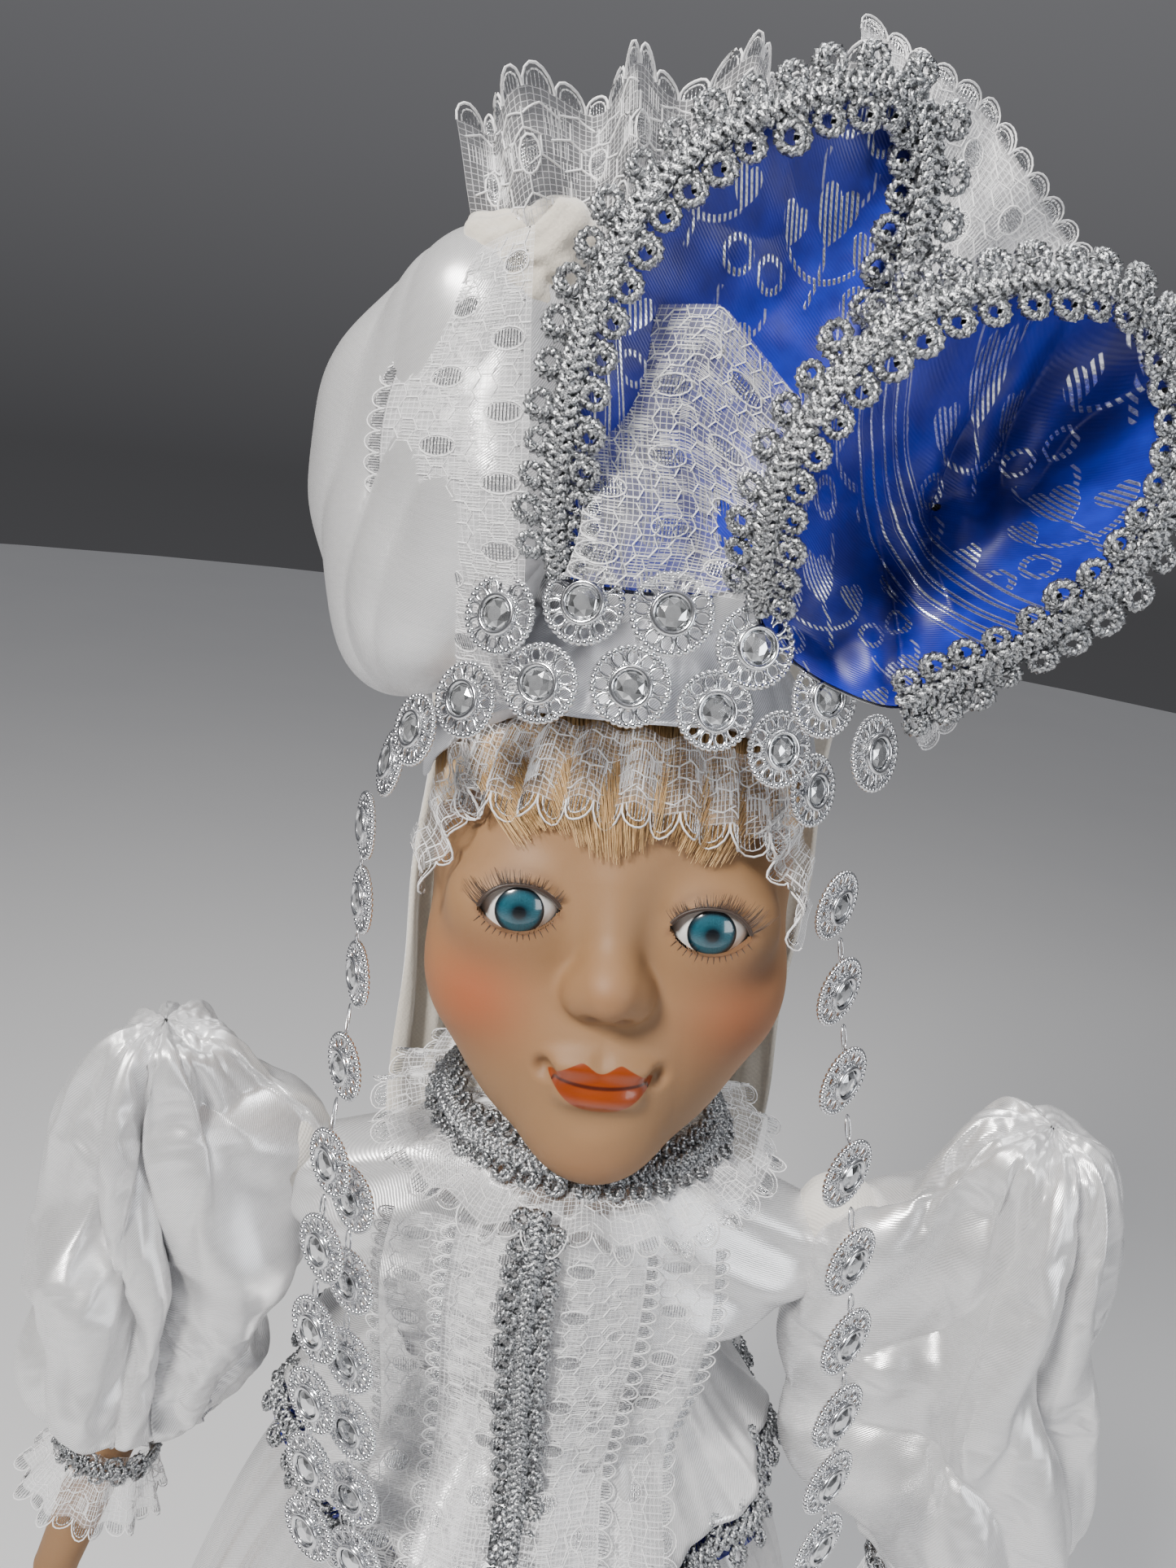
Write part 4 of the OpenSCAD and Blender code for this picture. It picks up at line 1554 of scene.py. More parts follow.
@dataclass
class DollHead:
    """Porcelain head with painted features, glass eyes, lashes and bangs."""

    frame: HeadFrame = field(default_factory=HeadFrame)
    eye_x: float = 14.2
    eye_y: float = -22.2
    eye_r: float = 7.0
    eye_rise: float = 0.5
    slit_half: float = 6.1
    slit_up: float = 3.7
    slit_down: float = 3.2
    lip_half: float = 8.0
    cell: float = 0.42

    def side_x(self, x: Array) -> Array:
        """Distance from the nearer eye's middle, positive outwards."""
        return np.abs(x) - self.eye_x

    def rise(self, x: Array) -> Array:
        """How far each eye sits above the eye line: hand-set eyes are never quite level."""
        return np.where(np.asarray(x) < 0, self.eye_rise, -self.eye_rise)

    def slit(self, x: Array, z: Array) -> Array:
        """Signed distance to the edge of the eye opening, negative inside."""
        s = self.side_x(x) / self.slit_half
        z = z - self.rise(x)
        arch = np.clip(1 - np.abs(s + 0.06) ** 2.3, 0, 1)
        bowl = np.clip(1 - np.abs(s - 0.05) ** 2.1, 0, 1)
        top = self.slit_up * arch**0.72 + 0.25 * s - 0.2
        low = -self.slit_down * bowl**0.80 + 0.25 * s - 0.2
        return np.maximum(np.maximum(z - top, low - z), self.slit_half * (np.abs(s) - 1))

    def relax(self, p: Array) -> Array:
        """Takes the full cheeks and the long lower face back to the plain form."""
        x, y, z = p[..., 0], p[..., 1], p[..., 2]
        side = np.abs(x)
        full = 0.17 * smooth(-z, -22, -2) * np.maximum(side - 12, 0)
        below = 0.5 * (np.sqrt(z * z + 36) - z)
        return np.stack([np.sign(x) * (side - full), y, z + 0.085 * (below - 1.0)], -1)

    def form(self, p: Array) -> Array:
        """Distance to the porcelain's outer form."""
        p = self.relax(p)
        x, y, z = p[..., 0], p[..., 1], p[..., 2]
        m = np.stack([np.abs(x), y, z], -1)
        d = ellipsoid(p, (0, 4, 16), (28.2, 30, 28))
        d = fuse(d, ellipsoid(p, (0, -6.5, 13), (23.5, 22.5, 22)), 6)
        d = fuse(d, ellipsoid(p, (0, -4.5, -6), (26.2, 23.5, 33)), 7)
        d = fuse(d, ellipsoid(m, (12.0, -15.5, -12.5), (12.5, 11.0, 12.0)), 8)
        d = fuse(d, ellipsoid(p, (0, -21.5, -22), (9.5, 8.4, 9.0)), 9)
        d = fuse(d, ellipsoid(p, (0, -13.0, -25.0), (18.0, 14.5, 15.0)), 6)
        d = fuse(d, ellipsoid(p, (0, -21.0, -33.0), (9.5, 8.6, 7.9)), 6)
        d = carve(d, ellipsoid(m, (self.eye_x - 0.4, -34.3, 1.2), (8.2, 5.8, 5.6)), 5.0)
        d = fuse(d, ellipsoid(m, (self.eye_x, self.eye_y, 0), (8.6, 8.1, 8.2)), 5.0)
        d = fuse(d, rod(p, (0, -27.0, 4), (0, -31.6, -7.5), 2.2, 2.9), 6.5)
        d = fuse(d, ellipsoid(p, (0, -32.9, -8.6), (4.2, 4.6, 3.8)), 4.2)
        d = fuse(d, ellipsoid(m, (3.9, -30.2, -10.2), (2.3, 3.1, 2.3)), 3.2)
        d = carve(d, ellipsoid(m, (2.35, -34.6, -13.3), (1.5, 2.6, 1.15)), 1.1)
        d = fuse(d, ellipsoid(m, (2.7, -29.6, -20.4), (5.0, 2.5, 1.7)), 2.4)
        d = fuse(d, ellipsoid(p, (0, -29.7, -24.5), (6.2, 2.8, 2.4)), 2.4)
        d = carve(d, rod(m, (0, -33.6, -14.0), (0, -32.8, -18.4), 0.9, 1.2), 1.4)
        d = carve(d, ellipsoid(m, (8.7, -30.0, -21.6), (1.5, 2.6, 1.3)), 1.6)
        d = carve(d, ellipsoid(p, (0, -33.0, -28.4), (6.5, 2.4, 1.8)), 2.4)
        return d

    def radius(self, ray: Array, core: Array) -> Array:
        """Distance from the core to the form along each ray, by bisection."""
        low = np.full(ray.shape[:-1], 8.0)
        high = np.full(ray.shape[:-1], 52.0)
        for _ in range(18):
            middle = (low + high) / 2
            inside = self.form(core + ray * middle[..., None]) < 0
            low = np.where(inside, middle, low)
            high = np.where(inside, high, middle)
        return (low + high) / 2

    def lip_edge(self, x: Array, z: Array) -> tuple[Array, Array]:
        """Signed distance to the painted lip edge (positive inside) and to the parting line."""
        w = np.abs(x)
        s = np.clip(w / self.lip_half, 0, 1)
        dip = -20.6 + 0.65 * (1 - np.cos(np.pi * np.clip(w / 3.0, 0, 1)))
        wing = -19.3 - 2.6 * np.clip((w - 3.0) / (self.lip_half - 3.0), 0, 1) ** 1.15
        top = np.where(w < 3.0, dip, wing)
        low = -21.9 - 4.6 * np.clip(1 - s**2, 0, 1) ** 0.85
        part = -21.9 - 0.75 * (1 - s**2)
        inside = np.minimum(np.minimum(top - z, z - low), self.lip_half - w)
        return inside, z - part

    def skull(self) -> bpy.types.Object:
        """The porcelain shell with its eye openings and painted masks."""
        core = np.array([0.0, -6.0, -5.0])
        front = np.radians(np.linspace(-74, 74, 250))
        back = np.radians(np.linspace(74, 286, 72)[1:-1])
        turn = np.concatenate([front, back])
        rise = np.radians(np.concatenate(
            [np.linspace(-86, -56, 26)[:-1], np.linspace(-56, 44, 190), np.linspace(44, 82, 24)[1:]]
        ))
        e, a = np.meshgrid(rise, turn, indexing="ij")
        ray = np.stack([np.sin(a) * np.cos(e), -np.cos(a) * np.cos(e), np.sin(e)], -1)
        points = core + ray * self.radius(ray, core)[..., None]
        rows, columns = a.shape
        flat = points.reshape(-1, 3)
        x, y, z = flat.T
        near = (y < -18) & (np.abs(self.side_x(x)) < 9) & (np.abs(z) < 8)
        gap = np.where(near, self.slit(x, z), 99.0)
        step_z = np.where(z > self.rise(x) - 0.2, -1.0, 1.0)
        snap = near & (np.abs(gap) < self.cell * 0.62) & (np.abs(self.side_x(x)) < self.slit_half * 0.93)
        flat[:, 2] = np.where(snap, z + step_z * gap, z)
        faces = grid_faces(rows, columns, False, True)
        middle = flat[faces].mean(1)
        hole = (middle[:, 1] < -18) & (
            self.slit(middle[:, 0], middle[:, 2]) < -0.02
        ) & (np.abs(middle[:, 2]) < 8)
        faces = faces[~hole]
        used = np.unique(faces)
        renumber = np.full(len(flat), -1)
        renumber[used] = np.arange(len(used))
        flat, faces = flat[used], renumber[faces]
        obj = make_object("porcelain_head", self.frame.out(flat), faces, None, self.paint(flat))
        self.turn_rims(obj)
        return obj

    def paint(self, p: Array) -> dict[str, Array]:
        """Painted masks of the face at every vertex."""
        gap = self.slit(p[:, 0], p[:, 2])
        x, y, z = self.relax(p).T
        facing = y < -10
        inside, part = self.lip_edge(x, z)
        lips = np.where((y < -24) & (np.abs(x) < 9.5), inside, -3.0)
        parting = np.clip(part + 3 * smooth(np.abs(x), 6.6, 8.4), -2, 2)
        cheek = np.exp(-(((np.abs(x) - 19.0) / 7.0) ** 2) - ((z + 13.5) / 7.5) ** 2)
        side = np.where(x < 0, 0.78, 0.55)
        blush = facing * (cheek * side + 0.10 * np.exp(
            -((x / 5) ** 2) - ((z + 9) / 4) ** 2
        ) + 0.12 * np.exp(-((x / 7) ** 2) - ((z + 36) / 4) ** 2))
        lid = np.exp(-((np.clip(gap, 0, 9) / 0.55) ** 2)) * (np.abs(self.side_x(x)) < 7.5) * (y < -18) * 0.55
        crease = np.exp(-(((gap - 2.3) / 0.8) ** 2)) * (z > 2) * (np.abs(self.side_x(x)) < 7.0) * 0.30
        under_nose = np.exp(-(((np.abs(x) - 2.35) / 1.3) ** 2) - ((z + 12.9) / 0.9) ** 2) * 0.55 * (y < -27)
        corner = np.exp(-(((np.abs(x) - 8.4) / 1.2) ** 2) - ((z + 21.6) / 0.9) ** 2) * 0.38
        shade = np.where(facing, np.clip(lid + crease + under_nose + corner, 0, 0.8), 0)
        return {"lips": lips, "parting": parting, "blush": np.clip(blush, 0, 1), "shade": shade}

    def turn_rims(self, obj: bpy.types.Object) -> None:
        """Turns the edges of the eye openings inwards, with a crisp fold."""
        mesh = bmesh.new()
        mesh.from_mesh(obj.data)
        back = Vector(self.frame.matrix() @ np.array([0.0, 1.0, 0.0]))
        def is_rim(edge: bmesh.types.BMEdge) -> bool:
            """Whether an edge bounds an eye opening."""
            place_in = self.frame.into(np.array(edge.verts[0].co) / MM)
            return edge.is_boundary and place_in[1] < -15 and abs(place_in[2]) < 9
        rims = [edge for edge in mesh.edges if is_rim(edge)]
        made = bmesh.ops.extrude_edge_only(mesh, edges=rims)["geom"]
        for item in made:
            if isinstance(item, bmesh.types.BMVert):
                item.co += back * 2.2 * MM
        for edge in rims:
            edge.smooth = False
        mesh.to_mesh(obj.data)
        mesh.free()

    def eye(self, side: int) -> bpy.types.Object:
        """One glass eye: a ball with a slight bulge over the iris."""
        tilt = np.linspace(0, np.pi, 72)[:, None]
        turn = np.linspace(0, 2 * np.pi, 96, endpoint=False)[None, :]
        ring = tilt * self.eye_r + 0 * turn
        r = self.eye_r + 0.22 * smooth(-ring, -4.6, -3.2)
        ball = np.stack([
            r * np.sin(tilt) * np.cos(turn), -r * np.cos(tilt) + 0 * turn, r * np.sin(tilt) * np.sin(turn)
        ], -1)
        gaze = np.array(Euler((math.radians(3.0), 0, math.radians(1.5))).to_matrix())
        centre = np.array([side * self.eye_x, self.eye_y, -side * self.eye_rise])
        points = self.frame.out(ball @ gaze.T + centre)
        angle = turn / (2 * np.pi) * 2 * np.pi + 0 * tilt
        name = "left_glass_eye" if side < 0 else "right_glass_eye"
        values = {"ring": ring, "turn": np.minimum(angle, 2 * np.pi - angle)}
        return grid_object(name, points, None, False, True, True, values)

    def skin_at(self, x: Array, z: Array, lift: float = 0.0) -> Array:
        """Points on the face at head x and z, lifted off the skin."""
        low, high = np.full(np.shape(x), -46.0), np.full(np.shape(x), -5.0)
        for _ in range(18):
            middle = (low + high) / 2
            inside = self.form(np.stack([x, middle, z], -1)) < 0
            high = np.where(inside, middle, high)
            low = np.where(inside, low, middle)
        return np.stack([x, (low + high) / 2 - lift, z], -1)

    def lashes(self) -> bpy.types.Object:
        """Upper lash strips with fanned hairs, and short lower lashes drawn on the lid."""
        heap = MeshHeap()
        rng = np.random.default_rng(31)
        for side in (-1, 1):
            s = np.linspace(-0.98, 0.98, 60)
            x = side * (self.eye_x + s * self.slit_half)
            arch = np.clip(1 - np.abs(s + 0.06) ** 2.3, 0, 1)
            z = self.slit_up * arch**0.72 + 0.25 * s - 0.2 - side * self.eye_rise
            edge = self.skin_at(x, z + 0.30, 0.10)
            heap.tube(self.frame.out(edge), 0.34, 6, mark=0.0)
            for k in range(92):
                at = rng.uniform(-0.95, 1.0)
                foot = np.array([np.interp(at, s, edge[:, i]) for i in range(3)])
                fan = at * 0.95 + rng.uniform(-0.22, 0.22)
                reach = (2.5 + 0.9 * at) * rng.uniform(0.7, 1.1)
                t = np.linspace(0, 1, 6)[:, None]
                way = np.array([side * math.sin(fan) * 0.85, -0.62, 0.55])
                bend = np.array([side * 0.2 * fan, 0.1, 0.75])
                heap.tube(self.frame.out(
                    foot + way * t * reach + bend * t**2 * reach * 0.62
                ), np.linspace(0.085, 0.02, 6), 3, mark=rng.uniform(0.2, 1))
            for at in np.linspace(-0.82, 0.9, 14):
                bowl = max(1 - abs(at - 0.05) ** 2.1, 0)
                foot_z = -self.slit_down * bowl**0.80 + 0.25 * at - 0.2 - side * self.eye_rise
                reach = rng.uniform(0.9, 1.5)
                t = np.linspace(0, 1, 5)
                lx = side * (self.eye_x + at * self.slit_half) + side * at * 0.75 * t * reach
                lz = foot_z - 0.12 - 0.8 * t * reach
                line = self.skin_at(lx, lz, 0.03)
                heap.tube(self.frame.out(line), np.linspace(0.10, 0.03, 5), 3, mark=0.1)
        return heap.finish("eyelashes")

    def bangs(self) -> bpy.types.Object:
        """Fine strands swept over the forehead from under the lace."""
        heap = MeshHeap()
        rng = np.random.default_rng(17)
        for k in range(1500):
            start = rng.uniform(-1, 1)
            lock = math.floor((start + 1) * 9) / 9 - 1 + rng.uniform(-0.03, 0.03)
            sweep = 5.5 * (0.25 - lock) + rng.uniform(-1.2, 1.2)
            x0, x1 = start * 24.5, start * 20.0 + sweep * 0.8 + (lock - start) * 5
            z0 = 31.0 - 6.5 * start**2 + rng.uniform(-1, 1.5)
            z1 = 12.4 + 1.8 * math.sin(lock * 7.0) + rng.uniform(-2.0, 2.6)
            t = np.linspace(0, 1, 7)
            x = x0 + (x1 - x0) * t**1.3
            z = z0 + (z1 - z0) * t
            skin = self.skin_at(x, z, 0.0)
            out = skin - np.array([0, -10, 4])
            lift = 0.5 + 1.7 * np.sin(np.pi * np.clip(t * 0.92 + 0.05, 0, 1)) ** 0.7 + rng.uniform(0, 0.9)
            strand = skin + unit(out) * lift[:, None]
            heap.tube(
                self.frame.out(strand), np.linspace(0.12, 0.035, 7) * rng.uniform(0.8, 1.3), 3,
                mark=float(np.clip(rng.normal(0.55, 0.25), 0, 1))
            )
        return heap.finish("bangs_of_fine_hair")

    def hair_cap(self) -> bpy.types.Object:
        """The wig over the back and sides, combed in fine ridges."""
        tilt = np.linspace(0.02, np.pi * 0.72, 64)[:, None]
        turn = np.linspace(-2.62, 2.62, 330)[None, :]
        comb = 0.35 * np.sin(turn * 95 + 2 * np.sin(tilt * 3)) + 0.5 * ripple(turn * 2.4, tilt * 0.4, 5)
        r = 30.6 + comb * 0.5 + 0 * tilt
        points = np.stack([
            r * np.sin(tilt) * np.sin(turn), 4.5 + r * np.sin(tilt) * np.cos(turn),
            16 + r * np.cos(tilt) + 0 * turn
        ], -1)
        points[..., 0] *= 0.97
        mark = np.clip(0.5 + 0.28 * np.sin(turn * 95) + 0.2 * ripple(turn * 5, tilt, 8), 0, 1) + 0 * tilt
        obj = grid_object("combed_wig", self.frame.out(points), None, False, False, True, {"mark": mark})
        return thicken(obj, 1.2, -1)

    def neck(self) -> bpy.types.Object:
        """The porcelain neck, which ends in a ball inside the shoulder plate."""
        t = np.linspace(0, 1, 26)[:, None]
        turn = np.linspace(0, 2 * np.pi, 64, endpoint=False)[None, :]
        r = 10.8 + 1.6 * smooth(-t, -0.25, 0.0) + 2.6 * smooth(t, 0.72, 1.0)
        points = np.stack([1 + r * np.cos(turn), 2 + 2.2 * t + r * np.sin(turn), 289 + 30 * t + 0 * turn], -1)
        return grid_object("porcelain_neck", points, None, False, True, False)

    def build(self) -> None:
        """Builds and dresses the head."""
        bisque = Bisque()
        place(self.skull(), Body.HEAD, bisque.painted(), ["head"])
        place(self.neck(), Body.HEAD, bisque.plain())
        glass = DollEye().made()
        place(self.eye(-1), Body.HEAD, glass, ["left_eye", "irises"])
        place(self.eye(1), Body.HEAD, glass, ["right_eye"])
        lash = HairFibre("lash_fibre", (0.030, 0.014, 0.007), (0.085, 0.042, 0.022), 0.5).made()
        place(self.lashes(), Body.HEAD, lash, ["upper_lashes"])
        fibre = HairFibre("wig_fibre", (0.40, 0.21, 0.075), (0.78, 0.53, 0.25)).made()
        place(self.bangs(), Body.HEAD, fibre, ["bangs"])
        place(self.hair_cap(), Body.HEAD, fibre, ["wig"])


# ---------------------------------------------------------------- headdress


@dataclass
class Puff:
    """A stuffed satin form: a smooth blend of balls, crumpled by a fold field."""

    centre: tuple[float, float, float]
    balls: tuple[tuple[float, float, float, float], ...]
    melt: float = 8.0
    rows: int = 110
    columns: int = 190
    folds: Callable[[Array, Array], Array] | None = None

    def form(self, p: Array) -> Array:
        """Distance to the blended balls."""
        d = np.full(p.shape[:-1], 1e3)
        for x, y, z, r in self.balls:
            d = fuse(d, np.linalg.norm(p - np.array([x, y, z]), axis=-1) - r, self.melt)
        return d

    def made(self, name: str) -> bpy.types.Object:
        """The closed form with cloth coordinates around its axis."""
        tilt = np.linspace(0.01, np.pi - 0.01, self.rows)[:, None]
        turn = np.linspace(0, 2 * np.pi, self.columns, endpoint=False)[None, :]
        way = np.stack(
            [np.sin(tilt) * np.cos(turn), np.sin(tilt) * np.sin(turn), np.cos(tilt) + 0 * turn], -1
        )
        core = np.array(self.centre)
        low, high = np.full(way.shape[:2], 1.0), np.full(way.shape[:2], 75.0)
        for _ in range(17):
            middle = (low + high) / 2
            inside = self.form(core + way * middle[..., None]) < 0
            low, high = np.where(inside, middle, low), np.where(inside, high, middle)
        r = low + (self.folds(tilt, turn + 0 * tilt) if self.folds else 0)
        points = core + way * r[..., None]
        uv = np.stack([turn * 30 + 0 * tilt, tilt * 30 + 0 * turn], -1)
        return grid_object(name, points, uv, False, True, True)


def radial_sheet(
    rim: Array, middle: Sequence[float], rows: int, depth: Callable[[Array, Array], Array]
) -> tuple[Array, Array]:
    """A lined hollow inside a rim: points and cloth coordinates from the middle to the rim.

    Args:
        rim: points of the rim, in order round the hollow.
        middle: the point that the hollow shrinks to.
        rows: how many steps from the middle to the rim.
        depth: how far each point is pushed back, as a function of the reach and the turn.

    Returns:
        A grid of points and a grid of cloth coordinates.
    """
    reach = np.linspace(0.02, 1.0, rows)[:, None]
    turn = np.linspace(0, 2 * np.pi, len(rim), endpoint=False)[None, :]
    centre = np.array(middle)
    points = centre + reach[..., None] * (rim[None] - centre)
    points[..., 1] += depth(reach, turn)
    uv = np.stack([points[..., 0], points[..., 2] + points[..., 1] * 0.5], -1)
    return points, uv


@dataclass
class Headdress:
    """Petals of brocade and satin over a wrapped crown, with braid, lace and rosettes."""

    head: DollHead
    lower_turns: tuple[float, ...] = (-71, -55, -37, -18.5, 1, 20, 39, 56)
    upper_places: tuple[float, ...] = (-20, -9.6, 1.1, 11.8, 22, 31)
    strand_pitch: float = 11.6
    centre_rim: tuple[tuple[float, float, float], ...] = (
        (-13.2, -40.5, 394), (-14.6, -43, 402), (-14.6, -46.5, 411), (-13.8, -48, 421), (-11.4, -48.5, 430),
        (-8.0, -48.5, 437), (-2.5, -48.5, 442.5), (5.5, -48, 447), (13, -46.5, 450), (18.0, -45, 449),
        (20.6, -44, 444), (20.8, -43.5, 436), (19.5, -43, 426), (15, -42.5, 414), (11, -42, 404), (7, -41, 395),
    )
    right_rim: tuple[tuple[float, float, float], ...] = (
        (11.5, -42.5, 393.5), (10.4, -47.5, 401), (10.0, -51, 409), (12.4, -53.5, 417), (16.4, -54.5, 424),
        (22.5, -54.5, 429), (30, -53, 432), (38, -50.5, 433.5), (46, -47.5, 432), (51.5, -46, 427), (54.5, -46.5, 419),
        (53.5, -48, 410.5), (49.5, -49, 403), (44, -47, 396.5), (38, -43.5, 390), (31.5, -40, 384), (23, -39, 385),
        (16, -40, 388.5),
    )

    def lower_row(self, a: Array) -> Array:
        """Places of the lower brow row."""
        a = np.radians(np.asarray(a, float))
        return np.stack([-3 + 34 * np.sin(a), -4.5 - 34 * np.cos(a), 381 - 32.4 * (1 - np.cos(a))], -1)

    def upper_row(self, x: Array) -> Array:
        """Places of the upper brow row."""
        x = np.asarray(x, float)
        return np.stack([x, -41.5 + 0.013 * (x - 2) ** 2, 391.6 - 0.0147 * (x + 2.5) ** 2], -1)

    @staticmethod
    def outwards(p: Array, lift: float) -> Array:
        """Direction out of the head's middle axis, tipped up by lift degrees."""
        turn = np.arctan2(p[:, 0], -p[:, 1])
        c, s = math.cos(math.radians(lift)), math.sin(math.radians(lift))
        return np.stack([c * np.sin(turn), -c * np.cos(turn), np.full(len(p), s)], -1)

    def strand(self, z: Array, left: bool, second: bool = False) -> Array:
        """Places of a hanging strand at heights z."""
        if left:
            x = np.interp(z, [238, 300, 320, 352], [-31, -35, -36, -38])
            y = np.interp(z, [238, 276, 300, 327, 352], [-46, -44, -37, -19, -16])
            if second:
                x = x + np.interp(z, [238, 300], [7, 3.2])
                y = y + np.interp(z, [238, 300], [1.4, 3])
            return np.stack([x, y, z], -1)
        x = np.interp(z, [245, 300, 340, 356], [45, 41, 33.5, 30.5])
        y = np.interp(z, [245, 285, 310, 335, 350, 356], [-48, -47, -42, -31, -26, -25])
        return np.stack([x, y, z], -1)

    def links(self, name: str, runs: Sequence[Array], body: Body) -> None:
        """Small wire links from rosette to rosette."""
        heap = MeshHeap()
        for places in runs:
            way = self.outwards(places, 0)
            for a, b, n in zip(places[:-1], places[1:], way[:-1]):
                ahead = (b - a) / max(np.linalg.norm(b - a), 1e-6)
                start, end = a + ahead * 4.9 + n * 1.2, b - ahead * 4.9 + n * 1.2
                t = np.linspace(0, 2 * np.pi, 13)[:, None]
                side = np.cross(ahead, n)
                middle = (start + end) / 2
                reach = np.linalg.norm(end - start) / 2 + 0.4
                heap.tube(middle + ahead * np.cos(t) * reach + side * np.sin(t) * 0.6, 0.16, 5)
        place(heap.finish(name), body, BrightPlastic(f"link_wire_{body.value}").made())

    def rosettes(self) -> None:
        """Both brow rows and the hanging strands."""
        lower, upper = self.lower_row(self.lower_turns), self.upper_row(self.upper_places)
        brow = np.vstack([lower, upper])
        Rosettes().build("brow", brow, self.outwards(brow, 12), Body.HEAD, ["brow_rosettes", "brow_stones"])
        steps = np.arange(10)
        left_a = self.strand(349 - steps * self.strand_pitch, True)
        left_b = self.strand(296.8 - steps[:6] * self.strand_pitch, True, True)
        left = np.vstack([left_a, left_b])
        Rosettes().build("left_strand", left, self.outwards(left, 0), Body.LEFT_STRAND, [
            "left_strand_rosettes", "left_strand_stones"
        ])
        self.links("left_strand_links", [left_a, left_b], Body.LEFT_STRAND)
        right = self.strand(351 - steps * self.strand_pitch, False)
        Rosettes().build("right_strand", right, self.outwards(right, 0), Body.RIGHT_STRAND, [
            "right_strand_rosettes", "right_strand_stones"
        ])
        self.links("right_strand_links", [right], Body.RIGHT_STRAND)

    def crumple(self, seed: int, depth: float) -> Callable[[Array, Array], Array]:
        """Soft random creases for a lined hollow."""
        def field_of(x: Array, z: Array) -> Array:
            """Crease height at a place in millimetres."""
            warp = ripple(x / 40, z / 40, seed, 5, 0.6, 1.6)
            ridge = 1 - 2 * np.abs(ripple(x / 30 + 0.25 * warp, z / 30, seed + 1, 4, 0.5, 1.5))
            return depth * (0.55 * ridge + 0.35 * warp + 0.12 * ripple(x / 12, z / 12, seed + 2, 6, 0.6, 1.8))
        return field_of

    def hollow(
        self, name: str, rim: Array, middle: Sequence[float], depth: float, seed: int, crease: float,
        cut: tuple[float, float]
    ) -> None:
        """One petal: a brocade lining in front and a satin back."""
        field_of = self.crumple(seed, crease)
        def sunk(reach: Array, turn: Array) -> Array:
            """How far the lining lies back."""
            return depth * (1 - reach**2.2) + 0 * turn
        points, uv = radial_sheet(rim, middle, 90, sunk)
        fade = np.linspace(0.02, 1.0, 90)[:, None]
        points[..., 1] += field_of(points[..., 0], points[..., 2]) * (1 - fade**5)
        turn = math.radians(-24 if seed % 2 else 8)
        spun = np.stack([
            uv[..., 0] * math.cos(turn) - uv[..., 1] * math.sin(turn),
            uv[..., 0] * math.sin(turn) + uv[..., 1] * math.cos(turn)
        ], -1)
        lining = grid_object(f"{name}_lining", points, spun, False, True, False)
        place(lining, Body.HEAD, Brocade(f"brocade_{name}").made(), [name])
        back = points.copy()
        reach = np.linspace(0.02, 1.0, 90)[:, None]
        back[..., 1] += 3.2 * (1 - reach**6) + 0.6
        grown = np.array(middle) + (back - np.array(middle)) * np.array([1.02, 1, 1.02])
        grown[..., 1] = back[..., 1]
        shell = grid_object(f"{name}_back", grown, uv, False, True, True)
        place(shell, Body.HEAD, Satin(f"satin_{name}").made())
        declare_sheet(cut)

    def petals(self) -> None:
        """Centre and right petals with their braid."""
        rim = spline(self.centre_rim, 220, True)
        self.hollow("centre_petal", rim, (2.0, -43.0, 422), 3.0, 40, 1.4, (40.0, 55.0))
        path = spline(self.centre_rim[:13], 160)
        face = unit(np.array([0.0, -1.0, 0.12]) + 0.25 * unit(path - np.array([3.0, -44, 422])))
        Braid().build("centre_petal_braid", path, face, Body.HEAD, ["centre_petal_gimp"])
        rim = spline(self.right_rim, 260, True)
        self.hollow("right_petal", rim, (33.0, -46.0, 408), 15.0, 51, 3.4, (52.0, 66.0))
        path = spline(self.right_rim[:16], 200)
        face = unit(np.array([0.0, -1.0, 0.25]) + 0.45 * unit(path - np.array([33.0, -48, 408])))
        Braid().build("right_petal_braid", path, face, Body.HEAD, ["right_petal_gimp"])

    def puffs(self) -> None:
        """The satin petal on the left, the crown puff and the wrapped foundation."""
        def left_folds(tilt: Array, turn: Array) -> Array:
            """Long soft folds that run down towards the brow."""
            ridge = np.abs(np.sin(turn * 4.0 + 1.5 * tilt + 0.6 * np.sin(turn * 3))) ** 0.7 * 2 - 1.3
            return (0.9 * ridge + 0.6 * ripple(turn * 0.9, tilt * 0.4, 9, 6, 0.4, 1.4)) * np.sin(tilt) ** 1.2
        left = Puff((-35, -9, 400), (
            (-40, -5, 411, 12.5), (-41, -3, 394, 11.5), (-38.5, -4, 376, 8.5), (-28, -16, 423, 12),
            (-25, -22, 402, 12), (-31, -15, 384, 11)
        ), 14.0, folds=left_folds)
        piece = left.made("left_petal_satin")
        place(piece, Body.HEAD, Satin("satin_left_petal").made(), ["left_petal"])
        def crown_folds(tilt: Array, turn: Array) -> Array:
            """Gathers that run to the top of the crown."""
            deep = np.abs(np.sin(turn * 7 + 1.3 * np.sin(tilt * 2.1) + 0.8)) ** 0.7
            return (
                2.6 * deep - 1.8 + 1.0 * ripple(turn * 0.8, tilt * 0.6, 23, 6, 0.5, 1.6)
            ) * np.sin(tilt) ** 0.8
        crown = Puff((2, 12, 408), (
            (2, 12, 414, 22), (-12, 8, 402, 16.5), (16, 8, 404, 16.5), (0, 26, 392, 16), (0, 6, 392, 18)
        ), 12.0, 130, 240, crown_folds)
        piece = crown.made("crown_puff_satin")
        place(piece, Body.HEAD, Satin("satin_crown").made(), ["crown_puff"])
        self.foundation()

